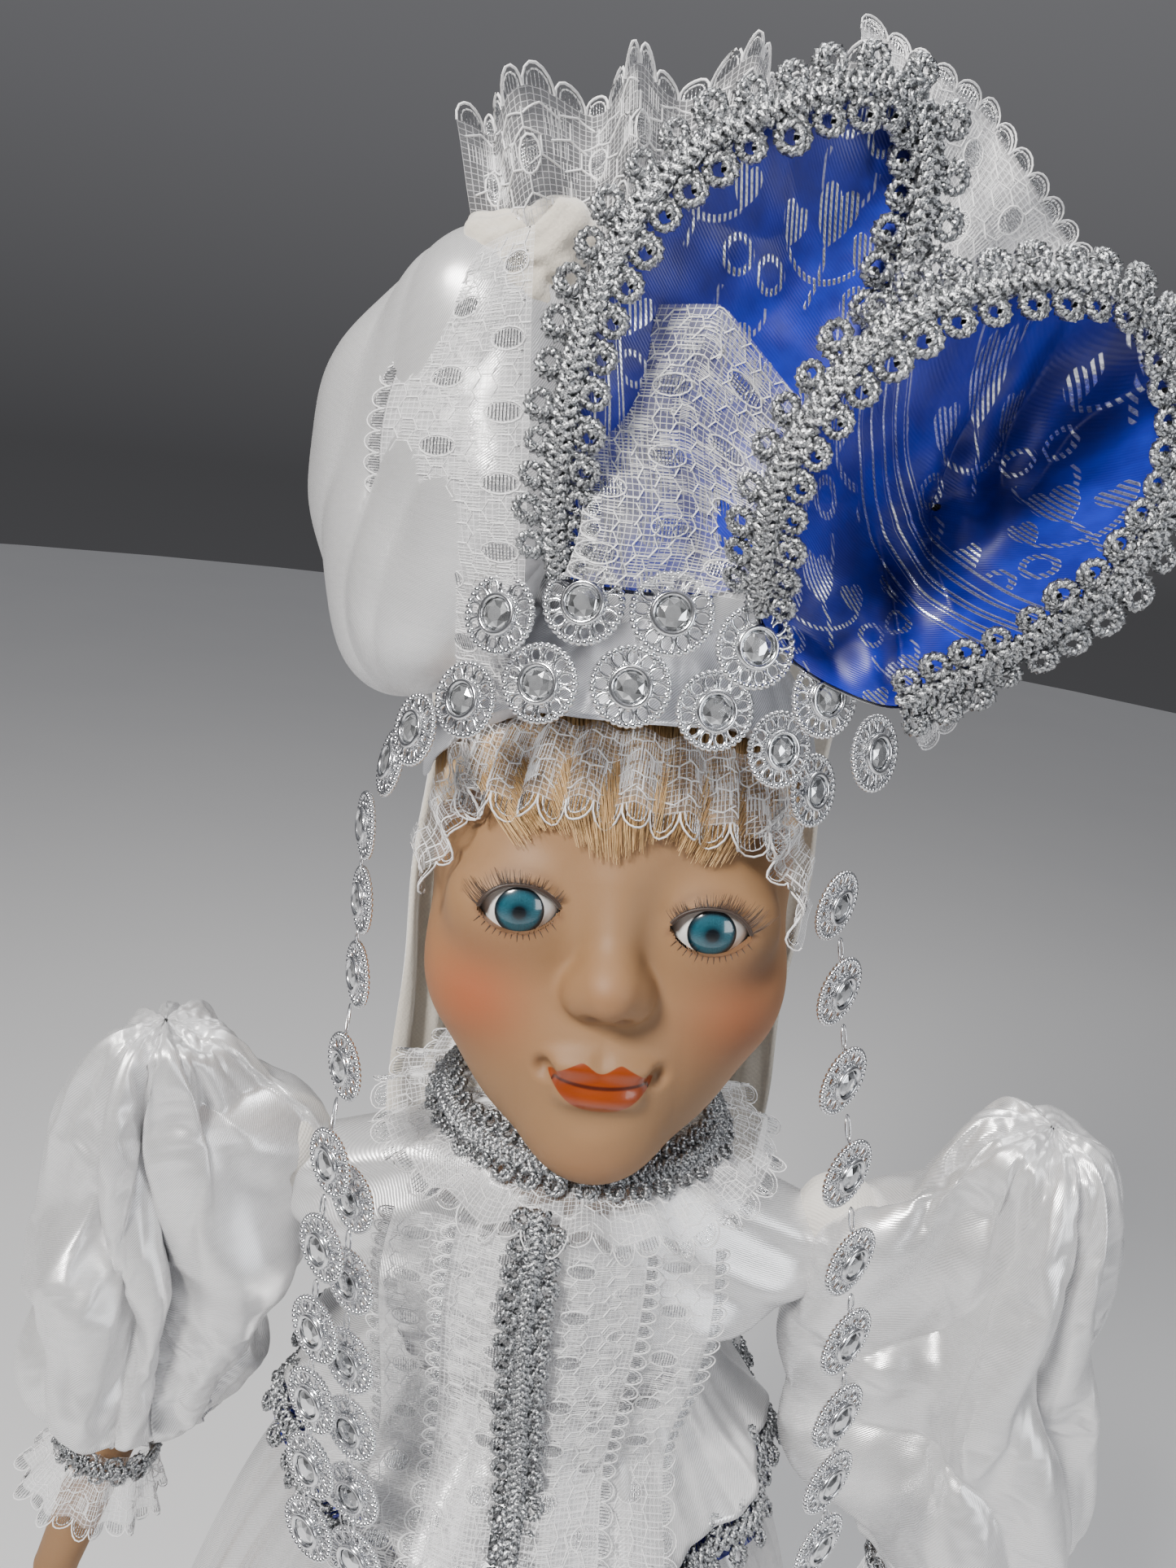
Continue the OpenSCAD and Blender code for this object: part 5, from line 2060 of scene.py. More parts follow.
    def foundation(self) -> None:
        """The pleated wrap over the top of the head."""
        tilt = np.linspace(0.02, 1.62, 90)[:, None]
        turn = np.linspace(0, 2 * np.pi, 240, endpoint=False)[None, :]
        pleat = 0.45 * np.abs(np.sin((turn * 14 + tilt * 3))) + 0.25 * ripple(turn, tilt, 3, 6, 0.5, 1.6)
        r = 32.7 + pleat
        local = np.stack([
            r * np.sin(tilt) * np.sin(turn) * 0.99, 2.5 - r * np.sin(tilt) * np.cos(turn) * 1.03,
            16.5 + r * np.cos(tilt) + 0 * turn
        ], -1)
        local[..., 2] = np.maximum(
            local[..., 2], 29.5 - 18.0 * (1 - np.clip(-(local[..., 1] + 2) / 24, 0, 1))
        )
        uv = np.stack([turn * 32 + 0 * tilt, tilt * 32 + 0 * turn], -1)
        wrap = grid_object("crown_wrap", self.head.frame.out(local), uv, False, True, True)
        place(wrap, Body.HEAD, Satin(
            "satin_wrap", (0.60, 0.61, 0.65)
        ).made(), ["headdress_foundation"])
        declare_sheet((92.0, 92.0))

    def brow_surface(self, width: float) -> Callable[[Array, Array], Array]:
        """Surface of the lace that hangs below the lower brow row and down both temples."""
        core = np.array([0.0, -6.0, -2.0])
        head = self.head
        span = 112.0
        def at(u: Array, v: Array) -> Array:
            """Point of the lace at u along the brow and v below the rosettes."""
            s = u / span * 2 - 1
            far = np.abs(s)
            turn = np.radians(np.interp(far, [0, 0.6, 1.0], [0, 80, 88]))
            down = smooth(far, 0.45, 0.75)
            fall = 12 * (1 - np.cos(turn)) + np.maximum(far - 0.6, 0) * 75
            turn = turn - down * v * 0.032
            high = 386.0 - fall - v * (1.52 - 1.25 * down)
            reach = np.stack([-1 + 32 * np.sign(s) * np.sin(turn), -10 - 22 * np.cos(turn), high], -1)
            guess = head.frame.into(reach)
            ray = unit(guess - core)
            r = head.radius(ray, core)
            t = v / width
            lift = 4.6 - 1.4 * t + 1.7 * np.sin(u * 0.9) * (0.45 + 0.55 * t)
            return head.frame.out(core + ray * (r + lift)[..., None])
        return at

    def laces(self) -> None:
        """Brow lace, overlays of the petals, the top ruffle and the side drape."""
        width = 16.0
        brow = Lace(
            112.0, width, self.brow_surface(width), cell=3.3, thread=0.14, scallop=3.7, spots=False, seed=3
        )
        brow.build("brow_lace_edging", Body.HEAD, "gathered", ["brow_lace"], 0.2)

        def overlay(u: Array, v: Array) -> Array:
            """Lace folded over the lower part of the centre petal."""
            s, t = u / 46.0, v / 30.0
            x = -12.5 + 28.0 * t + 1.2 * np.sin(s * 9)
            z = 394.5 + 46.0 * s - 13.0 * s * np.abs(t - 0.45) * 1.2 - 12 * t * s
            y = -44.2 - 1.6 * np.sin(s * 7 + t * 5) - 1.4 * np.sin(t * 9 - s * 3) + 1.5 * t
            return np.stack([x, y, z], -1)
        folded = Lace(36.5, 27.0, overlay, cell=2.9, scallop=2.8, both_edges=True, seed=12)
        folded.build("centre_petal_lace", Body.HEAD, "folded", (), 0.35)

        def across_left(u: Array, v: Array) -> Array:
            """Lace leaf over the satin petal on the left."""
            s, t = u / 62.0, v / 22.0
            x = -16.0 - 24 * np.sin(np.pi * (0.10 + 0.80 * s)) ** 0.7 * t - 5.0 * (1 - s) * 1.1
            z = 433 - 58 * s - 3 * t
            y = -37.5 + 18.0 * t**1.4 + 5 * s - 0.8 * np.sin(s * 12 + t * 4) - 10 * s * (1 - s)
            return np.stack([x, y, z], -1)
        leaf = Lace(62.0, 22.0, across_left, cell=2.9, scallop=3.0, seed=21)
        leaf.build("left_petal_lace", Body.HEAD, "laid", (), 0.55)

        def ruffle(u: Array, v: Array) -> Array:
            """Standing ruffle above the left petal."""
            s, t = u / 70.0, v / 30.0
            base = np.stack([-27 + 41 * s, -21 - 7 * s, 421 + 15 * np.sin(s * 1.6)], -1)
            way = np.stack([-0.34 + 0.55 * s, 0.20 * np.sin(u * 0.38), 0.95 + 0 * s], -1)
            wave = np.stack([
                1.2 * np.sin(u * 0.3 + 1) * t, 2.4 * np.sin(u * 0.38) * t + 1.2 * np.sin(t * 9),
                1.0 * np.cos(u * 0.42) * t
            ], -1)
            return base + way * v[..., None] * (0.93 - 0.22 * s[..., None]) + wave
        standing = Lace(70.0, 30.0, ruffle, cell=4.3, thread=0.15, scallop=3.2, seed=30)
        standing.build("top_ruffle_lace", Body.HEAD, "gathered", ["top_ruffle"], 0.3)
        tuft = Puff((-24, -20, 431), (
            (-27, -20, 431, 5.5), (-20, -21, 434, 5.0), (-24, -20, 427, 6)
        ), 3.0, 70, 90, lambda t, a: 0.5 * ripple(a, t, 77, 8, 0.8, 2.6) * np.sin(t))
        wool = tuft.made("wool_tuft")
        place(wool, Body.HEAD, Woven("cream_wool", (0.72, 0.66, 0.56), 0.6, 0.9).made())
        self.drape()

    def drape_surface(self, shift: float) -> Callable[[Array, Array], Array]:
        """Surface of the sheer drape behind the petals on the right."""
        def at(u: Array, v: Array) -> Array:
            """Point of the drape at u along its edge and v in from its inner side."""
            s, t = u / 88.0, v / 36.0
            edge = np.stack([
                np.interp(s, [0, 0.18, 0.4, 0.62, 0.8, 1.0], [13, 33, 54, 63, 60, 45]),
                np.interp(s, [0, 0.18, 0.4, 0.62, 0.8, 1.0], [-19, -10, 0, 4, 2, -6]),
                np.interp(s, [0, 0.18, 0.4, 0.62, 0.8, 1.0], [465, 460, 445, 421, 392, 369]),
            ], -1)
            inner = np.stack([20 + 10 * s, -24 + 4 * s, 441 - 46 * s], -1)
            fold = np.sin(u * 0.44 + shift) * 1.7 * (0.3 + t) + np.sin(v * 0.4 + u * 0.13) * 0.8
            p = inner + (edge - inner) * t[..., None]
            return p + np.stack([0.25 * fold, fold + shift * 1.6, 0.2 * fold], -1)
        return at

    def drape(self) -> None:
        """Two layers of sheer lace behind the petals, with a few embroidered flowers."""
        front = Lace(88.0, 36.0, self.drape_surface(0.0), cell=3.4, scallop=3.0, seed=41)
        front.build("side_drape_lace", Body.HEAD, "draped", ["side_drape"], 0.75)
        rear = Lace(88.0, 36.0, self.drape_surface(1.1), cell=3.4, scallop=3.0, seed=47, spots=False)
        rear.build("side_drape_lace_rear", Body.HEAD, "draped", (), 0.6)
        surface = self.drape_surface(0.0)
        heap = MeshHeap()
        for u0, v0 in ((81, 25.5), (72, 30), (57, 31), (77, 16.5)):
            for k in range(5):
                a = np.linspace(0, 2 * np.pi, 12)
                way = k * 2 * np.pi / 5
                u = u0 + 1.1 * np.cos(way) + 0.75 * np.cos(a)
                v = v0 + 1.1 * np.sin(way) + 0.75 * np.sin(a)
                for size in (1.0, 0.6, 0.25):
                    uu, vv = u0 + 1.1 * np.cos(way) + (
                        u - u0 - 1.1 * np.cos(way)
                    ) * size, v0 + 1.1 * np.sin(way) + (v - v0 - 1.1 * np.sin(way)) * size
                    heap.tube(surface(uu, vv) + np.array([0, -0.5, 0]), 0.17, 4, mark=0.0)
            for way in (0.6, 2.4, 4.4):
                t = np.linspace(0, 1, 8)
                u, v = u0 + np.cos(way) * (1.6 + 3 * t), v0 + np.sin(way) * (1.6 + 3 * t)
                heap.tube(
                    surface(u, v) + np.array([0, -0.5, 0]), 0.45 * np.sin(np.pi * t * 0.96 + 0.06) + 0.05,
                    4, mark=1.0
                )
        place(heap.finish("drape_flowers"), Body.HEAD, Embroidery().made())

    def nape(self) -> None:
        """The gathered cream cloth that hangs behind the neck."""
        u = np.linspace(-1, 1, 120)[None, :]
        v = np.linspace(0, 1, 60)[:, None]
        turn = u * 1.02
        fold = 1.3 * np.sin(u * 34 + 0.8 * np.sin(v * 5)) * (0.35 + 0.65 * v) + 0.8 * ripple(u * 2, v, 14)
        r = 45 + fold - 1.5
        x = r * np.sin(turn)
        y = 4 + r * np.cos(turn)
        z = 379 - 116 * v + 0 * u + 1.5 * np.sin(u * 17) * v
        uv = np.stack([u * 62 + 0 * v, v * 118 + 0 * u], -1)
        cloth = grid_object("nape_drape_cloth", np.stack([x + 0 * v, y, z], -1), uv)
        cloth = thicken(cloth, 1.0, 0)
        place(cloth, Body.HEAD, Woven(
            "cream_felt", (0.74, 0.69, 0.60), 0.55, 0.85
        ).made(), ["nape_drape"])
        declare_sheet((118.0, 104.0))

    def build(self) -> None:
        """Builds the whole headdress."""
        self.rosettes()
        self.petals()
        self.puffs()
        self.laces()
        self.nape()


# ---------------------------------------------------------------- dress


def wrap_uv(
    obj: bpy.types.Object, radius: float, middle: tuple[float, float] = (0.0, 0.0)
) -> bpy.types.Object:
    """Lays cloth coordinates round an upright axis, so that a weave can follow the piece."""
    mesh = obj.data
    points = np.zeros(len(mesh.vertices) * 3, np.float32)
    mesh.vertices.foreach_get("co", points)
    points = points.reshape(-1, 3) / MM
    turn = np.arctan2(points[:, 0] - middle[0], -(points[:, 1] - middle[1]))
    layer = mesh.uv_layers.new(name="cloth") if "cloth" not in mesh.uv_layers else mesh.uv_layers["cloth"]
    corner = np.zeros(len(mesh.loops), np.int32)
    mesh.loops.foreach_get("vertex_index", corner)
    starts = np.zeros(len(mesh.polygons), np.int32)
    mesh.polygons.foreach_get("loop_start", starts)
    face = np.searchsorted(starts, np.arange(len(corner)), side="right") - 1
    first = turn[corner[starts[face]]]
    around = turn[corner]
    around = around - np.round((around - first) / (2 * np.pi)) * 2 * np.pi
    layer.data.foreach_set(
        "uv", np.stack([around * radius, points[corner, 2]], -1).astype(np.float32).ravel()
    )
    return obj


def billow(
    obj: bpy.types.Object, pinned: Array, pressure: float, growth: float, frames: int, cap: float
) -> bpy.types.Object:
    """Lets a gathered form fill with air and buckle, by cloth simulation, and keeps the result.

    Args:
        obj: the form, whose mesh is the starting shape.
        pinned: how firmly each vertex is sewn down, from 0 to 1.
        pressure: air pressure inside.
        growth: how much larger the cut cloth is than the form.
        frames: how many steps are simulated.
        cap: the furthest that a point may move, in millimetres.

    Returns:
        The same object with its new mesh.
    """
    group = obj.vertex_groups.new(name="sewn")
    for index, weight in enumerate(pinned.tolist()):
        if weight > 0.01:
            group.add([index], weight, "REPLACE")
    before = np.zeros(len(obj.data.vertices) * 3, np.float32)
    obj.data.vertices.foreach_get("co", before)
    cloth = obj.modifiers.new("cloth", "CLOTH")
    settings = cloth.settings
    settings.quality = 6
    settings.mass = 0.15
    settings.tension_stiffness = settings.compression_stiffness = 12
    settings.shear_stiffness = 4
    settings.bending_stiffness = 0.5
    settings.use_pressure = True
    settings.uniform_pressure_force = pressure
    settings.shrink_min = -growth
    settings.vertex_group_mass = "sewn"
    settings.effector_weights.gravity = 0.15
    cloth.collision_settings.use_self_collision = False
    scene = bpy.context.scene
    cloth.point_cache.frame_start, cloth.point_cache.frame_end = 1, frames
    for frame in range(1, frames + 1):
        scene.frame_set(frame)
    apply_modifiers(obj)
    obj.vertex_groups.clear()
    scene.frame_set(1)
    after = np.zeros_like(before)
    obj.data.vertices.foreach_get("co", after)
    move = (after - before).reshape(-1, 3)
    size = np.linalg.norm(move, axis=1, keepdims=True)
    move *= np.minimum(1.0, cap * MM / np.maximum(size, 1e-9))
    obj.data.vertices.foreach_set("co", (before.reshape(-1, 3) + move).ravel())
    obj.data.update()
    return obj


@dataclass
class Sleeve:
    """A two-tier puff sleeve of white satin."""

    body: Body
    side: int
    upper: tuple[float, float, float]
    upper_r: float
    node: str
    seed: int
    rows: int = 120
    columns: int = 150

    def build(self) -> None:
        """Builds and fills the sleeve and hides its frame node; the sleeve is not fastened to a body."""
        x, y, z = self.upper
        lower = (x + self.side * 5, y - 5, z - 40)
        name = f"{self.node}_satin"
        def gathers(tilt: Array, turn: Array) -> Array:
            """Folds that pinch in at the seam, the tie and the cuff."""
            phase = 1.1 * np.sin(turn * 2 + self.seed) + 1.5 * np.sin(1.7 * tilt + turn + self.seed)
            ridge = np.abs(np.sin(turn * 3 + phase)) ** 0.75 * 2 - 1.3
            fine = np.abs(np.sin(turn * 8 + 2.2 * phase + tilt)) ** 0.8 - 0.6
            near = np.exp(-((tilt / 0.7) ** 2)) + np.exp(
                -(((tilt - np.pi) / 0.7) ** 2)
            ) + 0.5 * np.exp(-(((tilt - 2.0) / 0.3) ** 2))
            broad = ripple(turn / 5, tilt / 3, self.seed, 6, 0.5, 1.5)
            return (4.3 * ridge + 2.6 * near * fine) * np.sin(tilt) ** 0.6 + 2.4 * broad * np.sin(tilt) - 1.0
        middle = (x + self.side * 2.5, y - 2.5, z - 21)
        inner = self.side * 55
        seam = (
            (inner, -1, 286, 13.5), (inner + self.side, -5, 268, 15), (inner + self.side * 4, -7, 250, 13)
        )
        balls = ((
            *self.upper, self.upper_r - 1.6
        ), (*middle, self.upper_r - 2.6), (*lower, self.upper_r - 3.4), *seam)
        puff = Puff(middle, balls, 6.0, self.rows, self.columns, gathers)
        obj = puff.made(name)
        tilt = np.repeat(np.linspace(0, np.pi, self.rows), self.columns)
        seam = np.exp(-((tilt / 0.22) ** 2)) + np.exp(-(((tilt - np.pi) / 0.25) ** 2))
        billow(obj, np.clip(seam, 0, 1), 1.0, 0.22, 18, 9.0)
        soften(obj, 1)
        obj.data.materials.append(Satin(f"satin_{self.node}").made())
        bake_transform(obj)
        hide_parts(self.node)
        LOG.info("%s: %d faces on %s", name, len(obj.data.polygons), self.body.value)


@dataclass
class Dress:
    """Bodice, collar, jabot, peplum and skirt."""

    nodes: dict[str, bpy.types.Object]
    profile: tuple[tuple[float, float], ...] = (
        (25.8, 241), (33, 233), (44, 221), (54, 200), (65, 165), (76, 120), (89, 60), (98, 6),
    )

    def bodice(self) -> None:
        """The fitted satin bodice with a few pulled creases."""
        obj = remeshed_copy("bodice_satin", self.nodes["bodice"], 1.0, 4)
        flat = np.zeros(len(obj.data.vertices) * 3, np.float32)
        obj.data.vertices.foreach_get("co", flat)
        points = flat.reshape(-1, 3)
        ease = smooth(points[:, 2] / MM, 238.0, 251.0)
        pull = np.sin(points[:, 2] / MM * 0.55 + np.abs(points[:, 0]) / MM * 0.30)
        points[:, 0] *= 1 + 0.23 * ease
        points[:, 1] -= 0.9 * MM * ease * pull * smooth(np.abs(points[:, 0]) / MM, 18.0, 30.0)
        obj.data.vertices.foreach_set("co", points.ravel())
        obj.data.polygons.foreach_set("use_smooth", [True] * len(obj.data.polygons))
        wrap_uv(obj, 34)
        place(obj, Body.TORSO, Satin("satin_bodice").made(), ["bodice"])
        declare_sheet((205.0, 56.0))

    def collar(self) -> None:
        """The gathered lace collar and its braid."""
        def ruffle(u: Array, v: Array) -> Array:
            """Lace round the neck, falling outwards in folds."""
            a, t = u / 190.0 * 2 * np.pi, v / 22.0
            r = 15 + 22 * t + 0.5 * np.sin(a * 19)
            drop = 298.0 - 5.5 * t**2 + (1.9 * np.sin(a * 19) + 0.8 * np.sin(a * 7 + 1)) * t**2
            return np.stack([1 + r * np.sin(a), 1 - r * np.cos(a), drop], -1)
        Lace(
            190.0, 22.0, ruffle, cell=3.1, scallop=3.1, seed=61
        ).build("collar_ruffle", Body.TORSO, "gathered", ["collar_lace"], 0.45)
        a = np.linspace(0, 2 * np.pi, 200, endpoint=False)
        ring = np.stack([1 + 24.4 * np.sin(a), -24.4 * np.cos(a), 298.8 + 0.6 * np.cos(a)], -1)
        face = np.stack([0.75 * np.sin(a), -0.75 * np.cos(a), 0 * a + 0.66], -1)
        Braid(half=4.2).build("collar_braid", ring, face, Body.TORSO, ["collar_gimp"], True)

    def jabot(self) -> None:
        """Two lace fronts, each in two layers, and the braid between them."""
        for side, reach, name in ((-1, 26.5, "left"), (1, 28.0, "right")):
            for layer, (width, lift) in enumerate(((reach, 0.0), (reach * 0.58, 1.2))):
                def front(
                    u: Array, v: Array, side: int = side, width: float = width, lift: float = lift
                ) -> Array:
                    """Lace that hangs from the collar beside the braid."""
                    s, t = u / 46.0, v / reach
                    y = -31.9 - lift - 1.1 * np.sin(s * 8 + t * 2.5 + side) * t - 1.0 * np.sin(t * 8 + lift) + 6.5 * t**2.4
                    flare = smooth(s, 0.95, 1.35)
                    y = y - flare * (13.5 + 1.5 * t)
                    return np.stack([-1.5 + side * (
                        2.5 + v * (0.93 + 0.06 * np.sin(s * 5))
                    ), y, 292.5 - 44.5 * s - 1.5 * t + 3 * flare], -1)
                lace = Lace(64.0, width, front, cell=3.3, scallop=2.9, seed=70 + layer + side)
                lace.build(
                    f"jabot_{name}_{layer}", Body.TORSO, "hung",
                    ["jabot_lace"] if layer == 0 and side < 0 else (), 0.4
                )
        path = spline([
            (-3.5, -31.5, 296.5), (-3.6, -34.6, 290), (-3.4, -35.2, 277), (-2.2, -35.0, 262),
            (-0.8, -35.5, 248), (-0.3, -43, 239), (0, -48.5, 233)
        ], 100)
        face = unit(np.array([0.0, -1.0, 0.1]) + 0 * path)
        Braid(half=4.3).build("jabot_braid", path, face, Body.TORSO, ["jabot_gimp"])

    def peplum(self) -> None:
        """The fluted brocade peplum with its braid, and the skirt below."""
        profile = spline([(27.9, 248.4), (31, 243), (38, 236), (46.5, 229.6)], 34)
        a = np.linspace(0, 2 * np.pi, 320, endpoint=False)[None, :]
        t = np.linspace(0, 1, 34)[:, None]
        r = profile[:, :1] + 1.5 * t * np.sin(a * 13 + 0.7 * np.sin(a * 3)) + 0.3 * np.sin(a * 31) * (1 - t)
        points = np.stack([r * np.sin(a), -r * np.cos(a), profile[:, 1:] + 0.8 * t * np.cos(a * 13)], -1)
        run = np.concatenate([[0], np.cumsum(np.linalg.norm(np.diff(profile, axis=0), axis=1))])[:, None]
        uv = np.stack([a * 40 + 0 * t, run + 0 * a], -1)
        obj = thicken(grid_object("peplum_brocade", points, uv, False, True, True), 0.8, -1)
        place(obj, Body.TORSO, Brocade("brocade_peplum").made(), ["peplum"])
        declare_sheet((250.0, 26.5))
        line = spline([(26.5, 252.5), (29.6, 249.0), (35.0, 243.2), (43.6, 236.2)], 24)
        a = np.linspace(0, 2 * np.pi, 320, endpoint=False)[None, :]
        t = np.linspace(0, 1, 24)[:, None]
        r = line[:, :1] + 1.2 + 1.4 * t * np.sin(a * 13 + 0.7 * np.sin(a * 3)) + 0.25 * np.sin(a * 37 + 3 * t)
        points = np.stack([r * np.sin(a), -r * np.cos(a), line[:, 1:] + 0 * a], -1)
        basque = grid_object(
            "basque_satin", points, np.stack([a * 36 + 0 * t, t * 20 + 0 * a], -1), False, True, True
        )
        place(thicken(basque, 0.5, 0), Body.TORSO, Satin("satin_basque").made())
        declare_sheet((240.0, 24.0))
        a = np.linspace(0, 2 * np.pi, 300, endpoint=False)
        r = 45.6 + 1.4 * np.sin(a * 13 + 0.7 * np.sin(a * 3))
        ring = np.stack([r * np.sin(a), -r * np.cos(a), 233.0 + 0.8 * np.cos(a * 13)], -1)
        face = np.stack([0.8 * np.sin(a), -0.8 * np.cos(a), 0 * a + 0.6], -1)
        Braid(repeat=6.2, cord=0.36).build("peplum_braid", ring, face, Body.TORSO, ["peplum_gimp"], True)

    def gathered(
        self, name: str, profile: Sequence[tuple[float, float]], folds: int, depth: float, seed: int
    ) -> bpy.types.Object:
        """A gathered bell of cloth from a profile of radius and height."""
        line = spline(profile, 70)
        a = np.linspace(0, 2 * np.pi, 360, endpoint=False)[None, :]
        t = np.linspace(0, 1, 70)[:, None]
        wander = 0.9 * np.sin(a * 3 + seed) + 0.5 * np.sin(a * 7 + 2 * t + seed)
        fold = np.sin(a * folds + wander) + 0.35 * np.sin(a * folds * 2.3 + wander * 2 + 3 * t)
        r = line[:, :1] + depth * (0.25 + 0.75 * t) * fold * smooth(t, 0, 0.06) + 0.25 * np.sin(a * folds * 3) * (1 - t)
        points = np.stack([r * np.sin(a), -r * np.cos(a), line[:, 1:] + 0 * a], -1)
        run = np.concatenate([[0], np.cumsum(np.linalg.norm(np.diff(line, axis=0), axis=1))])[:, None]
        uv = np.stack([a * 70 + 0 * t, run + 0 * a], -1)
        return grid_object(name, points, uv, False, True, True)

    def skirt(self) -> None:
        """The satin skirt with a brocade border, over a cotton petticoat."""
        skirt = thicken(self.gathered("skirt_satin", self.profile, 22, 2.6, 2), 0.7, -1)
        place(skirt, Body.TORSO, Satin("satin_skirt").made(), ["skirt"])
        declare_sheet((520.0, 235.0))
        band = self.gathered("skirt_border", self.profile, 22, 2.6, 2)
        points = np.zeros(len(band.data.vertices) * 3, np.float32)
        band.data.vertices.foreach_get("co", points)
        points = points.reshape(-1, 3)
        rows = points.reshape(70, 360, 3)[-9:]
        out = unit(rows * np.array([1.0, 1.0, 0.0])) * 0.7 * MM
        uv = np.stack(np.meshgrid(np.arange(360) * 1.7, np.arange(9) * 3.8), -1)
        bpy.data.objects.remove(band)
        border = grid_object("skirt_border_brocade", (rows + out) / MM, uv, False, True, True)
        place(border, Body.TORSO, Brocade("brocade_border").made())
        declare_sheet((640.0, 31.0))
        ring = (rows[1][::2] + out[1][::2] * 3.0) / MM
        face = unit(ring * np.array([1.0, 1.0, 0.0])) + np.array([0, 0, 0.25])
        Braid(
            repeat=9.0, half=6.0, cord=0.52, step=0.75
        ).build("hem_braid", ring, unit(face), Body.TORSO, (), True)
        petticoat = self.gathered(
            "petticoat_cotton", ((40, 221), (50, 200), (61, 165), (72, 120), (85, 60), (92, 8)), 18, 1.5, 5
        )
        place(thicken(petticoat, 0.6, -1), Body.TORSO, Woven(
            "petticoat_cotton", (0.80, 0.79, 0.76), 0.45, 0.25
        ).made(), ["petticoat"])
        declare_sheet((460.0, 219.0))

    def build(self) -> None:
        """Builds the dress."""
        self.bodice()
        self.collar()
        self.jabot()
        self.peplum()
        self.skirt()
        Sleeve(Body.LEFT_ARM, -1, (-70, -1, 283), 23.0, "left_sleeve", 3).build()
        Sleeve(Body.RIGHT_ARM, 1, (79, -2, 284), 27.0, "right_sleeve", 8).build()


# ---------------------------------------------------------------- limbs and stand


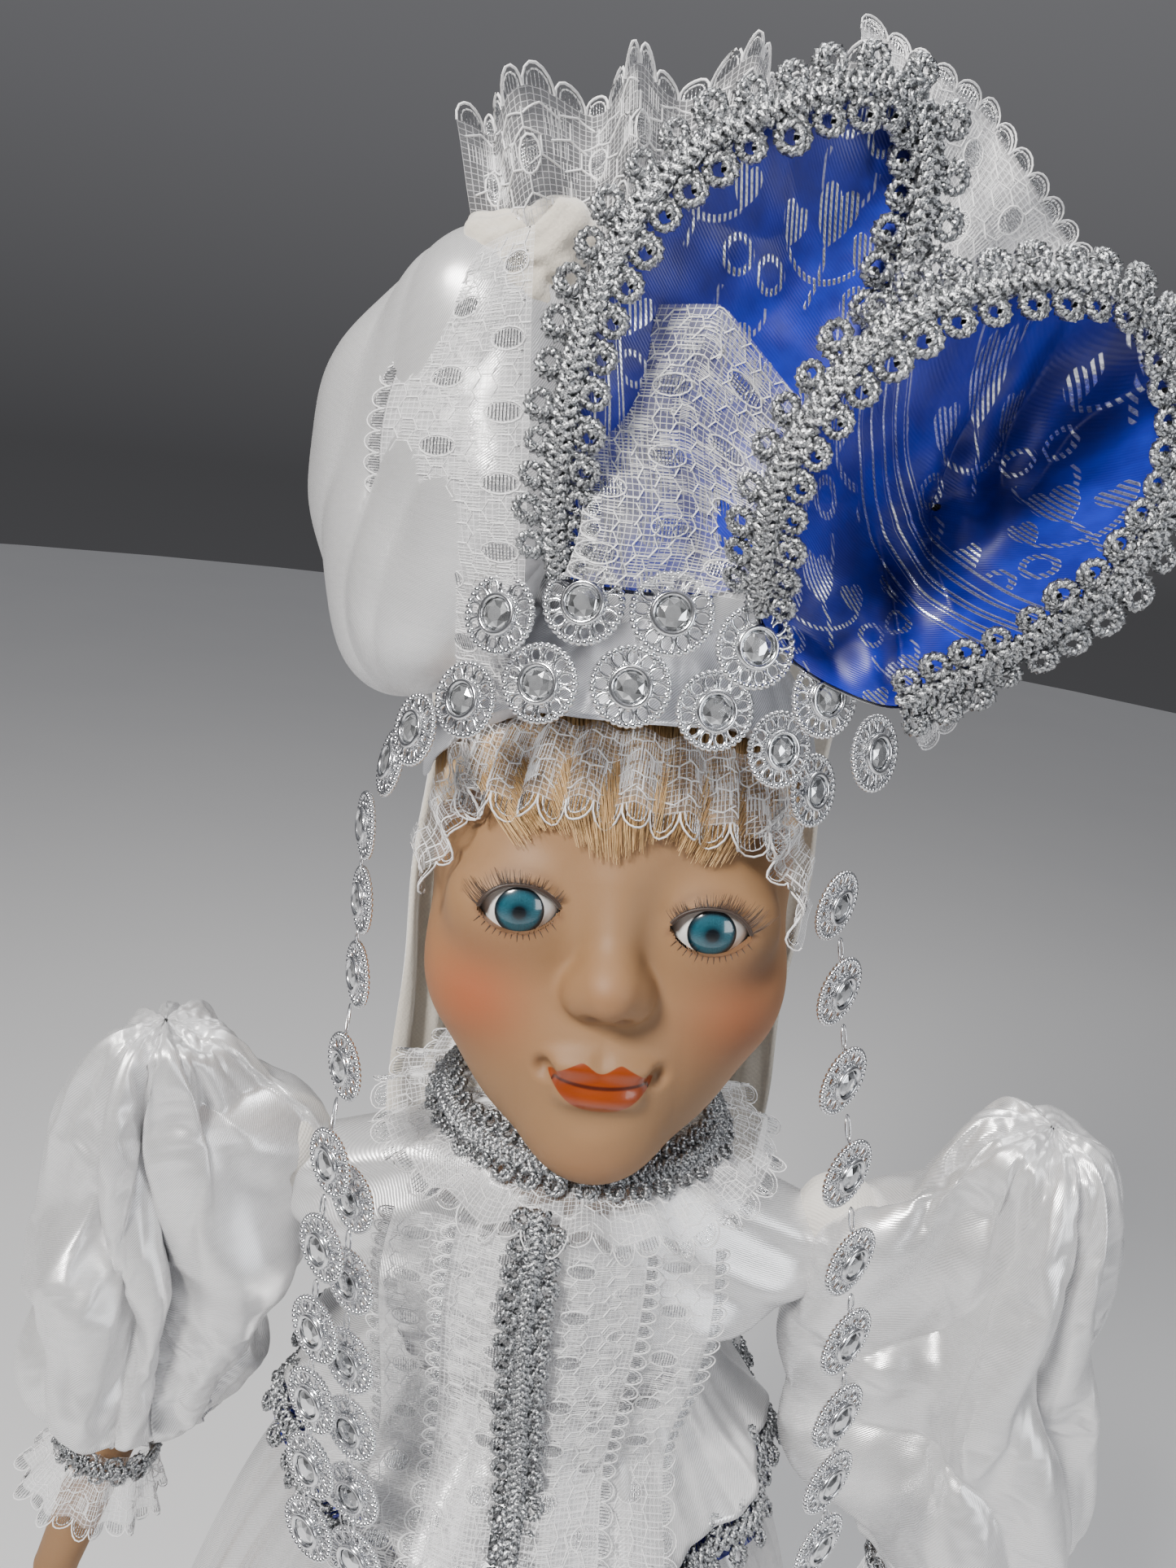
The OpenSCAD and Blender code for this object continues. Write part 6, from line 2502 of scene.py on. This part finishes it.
@dataclass
class LimbsAndStand:
    """Hands, legs, shoes, underthings, stand and hardware."""

    nodes: dict[str, bpy.types.Object]
    elbow: tuple[float, float, float] = (74, 0, 232)
    wrist: tuple[float, float, float] = (88, -8, 182)
    knee_z: float = 118

    def dress_node(self, material: bpy.types.Material, *names: str) -> None:
        """Gives frame nodes that stay visible their finish."""
        for name in names:
            node = self.nodes[name]
            for part in [node, *node.children_recursive]:
                if part.type == "MESH":
                    part.data.materials.clear()
                    part.data.materials.append(material)

    def cuff(self, side: int, body: Body, node: str) -> None:
        """A gathered lace cuff with a braid round the wrist."""
        a0, b0 = np.array(self.elbow, float), np.array(self.wrist, float)
        a0, b0 = a0 * [side, 1, 1], b0 * [side, 1, 1]
        way = unit(b0 - a0)
        across = unit(np.cross(way, [0.0, 1.0, 0.0]))
        other = np.cross(way, across)
        start = a0 + (b0 - a0) * 0.40
        def ruffle(u: Array, v: Array) -> Array:
            """Lace flaring from the sleeve towards the hand."""
            a, t = u / 72.0 * 2 * np.pi, v / 14.0
            r = 7.6 + 6.4 * t + 0.9 * np.sin(a * 11) * (0.3 + t)
            return start + way * (v * 0.86)[..., None] + across * (r * np.cos(a))[..., None] + other * (r * np.sin(a))[..., None]
        Lace(
            72.0, 14.0, ruffle, cell=2.9, scallop=2.8, seed=80 + side, spots=False
        ).build(f"{node}_lace", body, "gathered", [node], 0.45)
        a = np.linspace(0, 2 * np.pi, 90, endpoint=False)
        out = across * np.cos(a)[:, None] + other * np.sin(a)[:, None]
        Braid(
            half=3.4, repeat=4.4, cord=0.26
        ).build(f"{node}_braid", start + way * 1.5 + out * 9.0, out, body, (), True)

    def pantalette(self, side: int, body: Body, node: str) -> None:
        """A gathered cotton leg with a lace edge."""
        a = np.linspace(0, 2 * np.pi, 140, endpoint=False)[None, :]
        t = np.linspace(0, 1, 44)[:, None]
        tie = np.exp(-(((t - 0.88) / 0.05) ** 2))
        r = 14.2 + 0.6 * t + 0.55 * np.sin(a * 13 + 0.8 * np.sin(t * 5)) - 1.0 * tie + 0.4 * t * np.sin(a * 5)
        points = np.stack([side * 18 + r * np.sin(a), 2 - r * np.cos(a), 182 - 85 * t + 0 * a], -1)
        uv = np.stack([a * 15 + 0 * t, 85 * t + 0 * a], -1)
        obj = thicken(grid_object(f"{node}_cotton", points, uv, False, True, True), 0.5, -1)
        place(obj, body, Woven(f"cotton_{node}", (0.80, 0.79, 0.76), 0.45, 0.2).made(), [node])
        declare_sheet((92.0, 85.0))
        def edge(u: Array, v: Array) -> Array:
            """Lace edging at the bottom of the leg."""
            turn = u / 100.0 * 2 * np.pi
            r = 14.6 + 0.12 * v + 0.6 * np.sin(turn * 15) * v / 11
            return np.stack([side * 18 + r * np.sin(turn), 2 - r * np.cos(turn), 104 - v], -1)
        Lace(
            100.0, 11.0, edge, cell=2.8, scallop=2.8, spots=False, seed=90 + side
        ).build(f"{node}_lace", body, "gathered", (), 0.4)

    def build(self) -> None:
        """Builds both arms, both legs, the stand and the hardware."""
        bisque = Bisque().plain()
        cloth = Woven("body_cloth", (0.74, 0.71, 0.66), 0.5, 0.3).made()
        metal = PaintedMetal("stand_enamel", (0.72, 0.72, 0.71), 0.0, 0.35).made()
        steel = PaintedMetal("plated_steel", (0.56, 0.56, 0.57), 1.0, 0.28).made()
        self.dress_node(metal, "stand_base", "stand_post", "stand_clip")
        self.dress_node(steel, "neck_washer", "bodice_snaps", "neck_bolt")
        self.dress_node(cloth, "torso", "left_upper_arm", "right_upper_arm", "left_thigh", "right_thigh")
        self.dress_node(bisque, "shoulder_plate")
        self.dress_node(Card().made(), "pate")
        leather = Leather("shoe_leather", (0.80, 0.79, 0.77)).made()
        sides = ((-1, "left", Body.LEFT_ARM, Body.LEFT_LEG), (1, "right", Body.RIGHT_ARM, Body.RIGHT_LEG))
        for side, word, arm, leg in sides:
            hand = remeshed_copy(f"{word}_porcelain_hand", self.nodes[f"{word}_forearm"], 0.45, 3)
            place(hand, arm, bisque, [f"{word}_forearm"])
            self.cuff(side, arm, f"{word}_cuff")
            calf = remeshed_copy(f"{word}_porcelain_leg", self.nodes[f"{word}_lower_leg"], 0.8, 8)
            place(calf, leg, bisque, [f"{word}_lower_leg"])
            shoe = remeshed_copy(f"{word}_leather_shoe", self.nodes[f"{word}_shoe"], 0.4, 2)
            place(shoe, leg, leather, [f"{word}_shoe"])
            self.pantalette(side, leg, f"{word}_pantalette")


# ---------------------------------------------------------------- stage


@dataclass
class Studio:
    """Pale floor, soft lamps and the camera."""

    look_at: tuple[float, float, float] = (-6.0, -34.0, 366.0)
    distance: float = 164.0
    elevation: float = 17.0
    lean: float = 8.4
    lens: float = 28.0

    def camera(self) -> None:
        """A near, slightly high camera that leans with the hand that holds it."""
        data = bpy.data.cameras.new("camera")
        data.lens = self.lens
        data.sensor_width = 36.0
        data.clip_start = 0.01
        camera = bpy.data.objects.new("camera", data)
        bpy.context.scene.collection.objects.link(camera)
        rise = math.radians(self.elevation)
        back = Vector((0.0, -math.cos(rise), math.sin(rise)))
        eye = Vector(self.look_at) + back * self.distance
        turn = back.to_track_quat("Z", "Y").to_matrix() @ Matrix.Rotation(math.radians(self.lean), 3, "Z")
        camera.matrix_world = Matrix.Translation(eye * MM) @ turn.to_4x4()
        bpy.context.scene.camera = camera

    def lamp(
        self, name: str, at: tuple[float, float, float], size: float, power: float,
        tone: tuple[float, float, float]
    ) -> None:
        """One square soft lamp that faces the doll's head."""
        data = bpy.data.lights.new(name, "AREA")
        data.size = size * MM
        data.energy = power
        data.color = tone
        lamp = bpy.data.objects.new(name, data)
        bpy.context.scene.collection.objects.link(lamp)
        lamp.location = Vector(at) * MM
        aim = Vector((0, 0, 300)) - Vector(at)
        lamp.rotation_euler = aim.to_track_quat("-Z", "Y").to_euler()

    def floor(self) -> None:
        """A pale flat floor that reaches far away."""
        ring = np.linspace(0, 2 * np.pi, 64, endpoint=False)[None, :]
        r = np.array([1.0, 400.0, 900.0, 2500.0])[:, None]
        points = np.stack([r * np.cos(ring), r * np.sin(ring), 0 * r * ring - 0.2], -1)
        obj = grid_object("studio_floor", points, None, False, True)
        p = Paint("pale_floor")
        cloud = p.noise(p.place(), 6.0, 3.0)
        obj.data.materials.append(
            p.surface(Base_Color=p.blend(cloud, (0.74, 0.74, 0.75), (0.78, 0.78, 0.78)), Roughness=0.6)
        )

    def world(self) -> None:
        """An even grey room with a brighter ceiling, which the silver reflects."""
        world = bpy.data.worlds.new("room")
        bpy.context.scene.world = world
        world.use_nodes = True
        graph = NodeGraph(world.node_tree)
        up = graph.node("ShaderNodeTexCoord", None, [], "Generated")
        height = graph.node("ShaderNodeSeparateXYZ", None, [up], 2)
        ramp = [
            (0.0, (0.30, 0.30, 0.31)), (0.46, (0.16, 0.16, 0.17)), (0.58, (0.34, 0.34, 0.36)),
            (1.0, (0.85, 0.86, 0.9))
        ]
        tone = graph.node("ShaderNodeValToRGB", {"ramp": ramp}, [height * 0.5 + 0.5])
        back = graph.node("ShaderNodeBackground", None, {"Color": tone, "Strength": 0.36})
        graph.node("ShaderNodeOutputWorld", None, {"Surface": back})

    def build(self) -> None:
        """Sets the whole stage."""
        self.camera()
        self.world()
        self.floor()
        self.lamp("key_lamp", (-300, -430, 760), 150, 8.6, (1.0, 0.97, 0.93))
        self.lamp("fill_lamp", (520, -420, 420), 300, 1.7, (0.95, 0.97, 1.0))
        self.lamp("top_lamp", (60, 160, 860), 260, 2.8, (1.0, 1.0, 1.0))


# ---------------------------------------------------------------- whole doll


def main() -> None:
    """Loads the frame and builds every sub-assembly in order."""
    logging.basicConfig(level=logging.INFO, format="%(name)s: %(message)s")
    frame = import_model()
    Studio().build()
    head = DollHead()
    head.build()
    Headdress(head).build()
    Dress(frame["nodes"]).build()
    LimbsAndStand(frame["nodes"]).build()


if __name__ == "__main__":
    main()
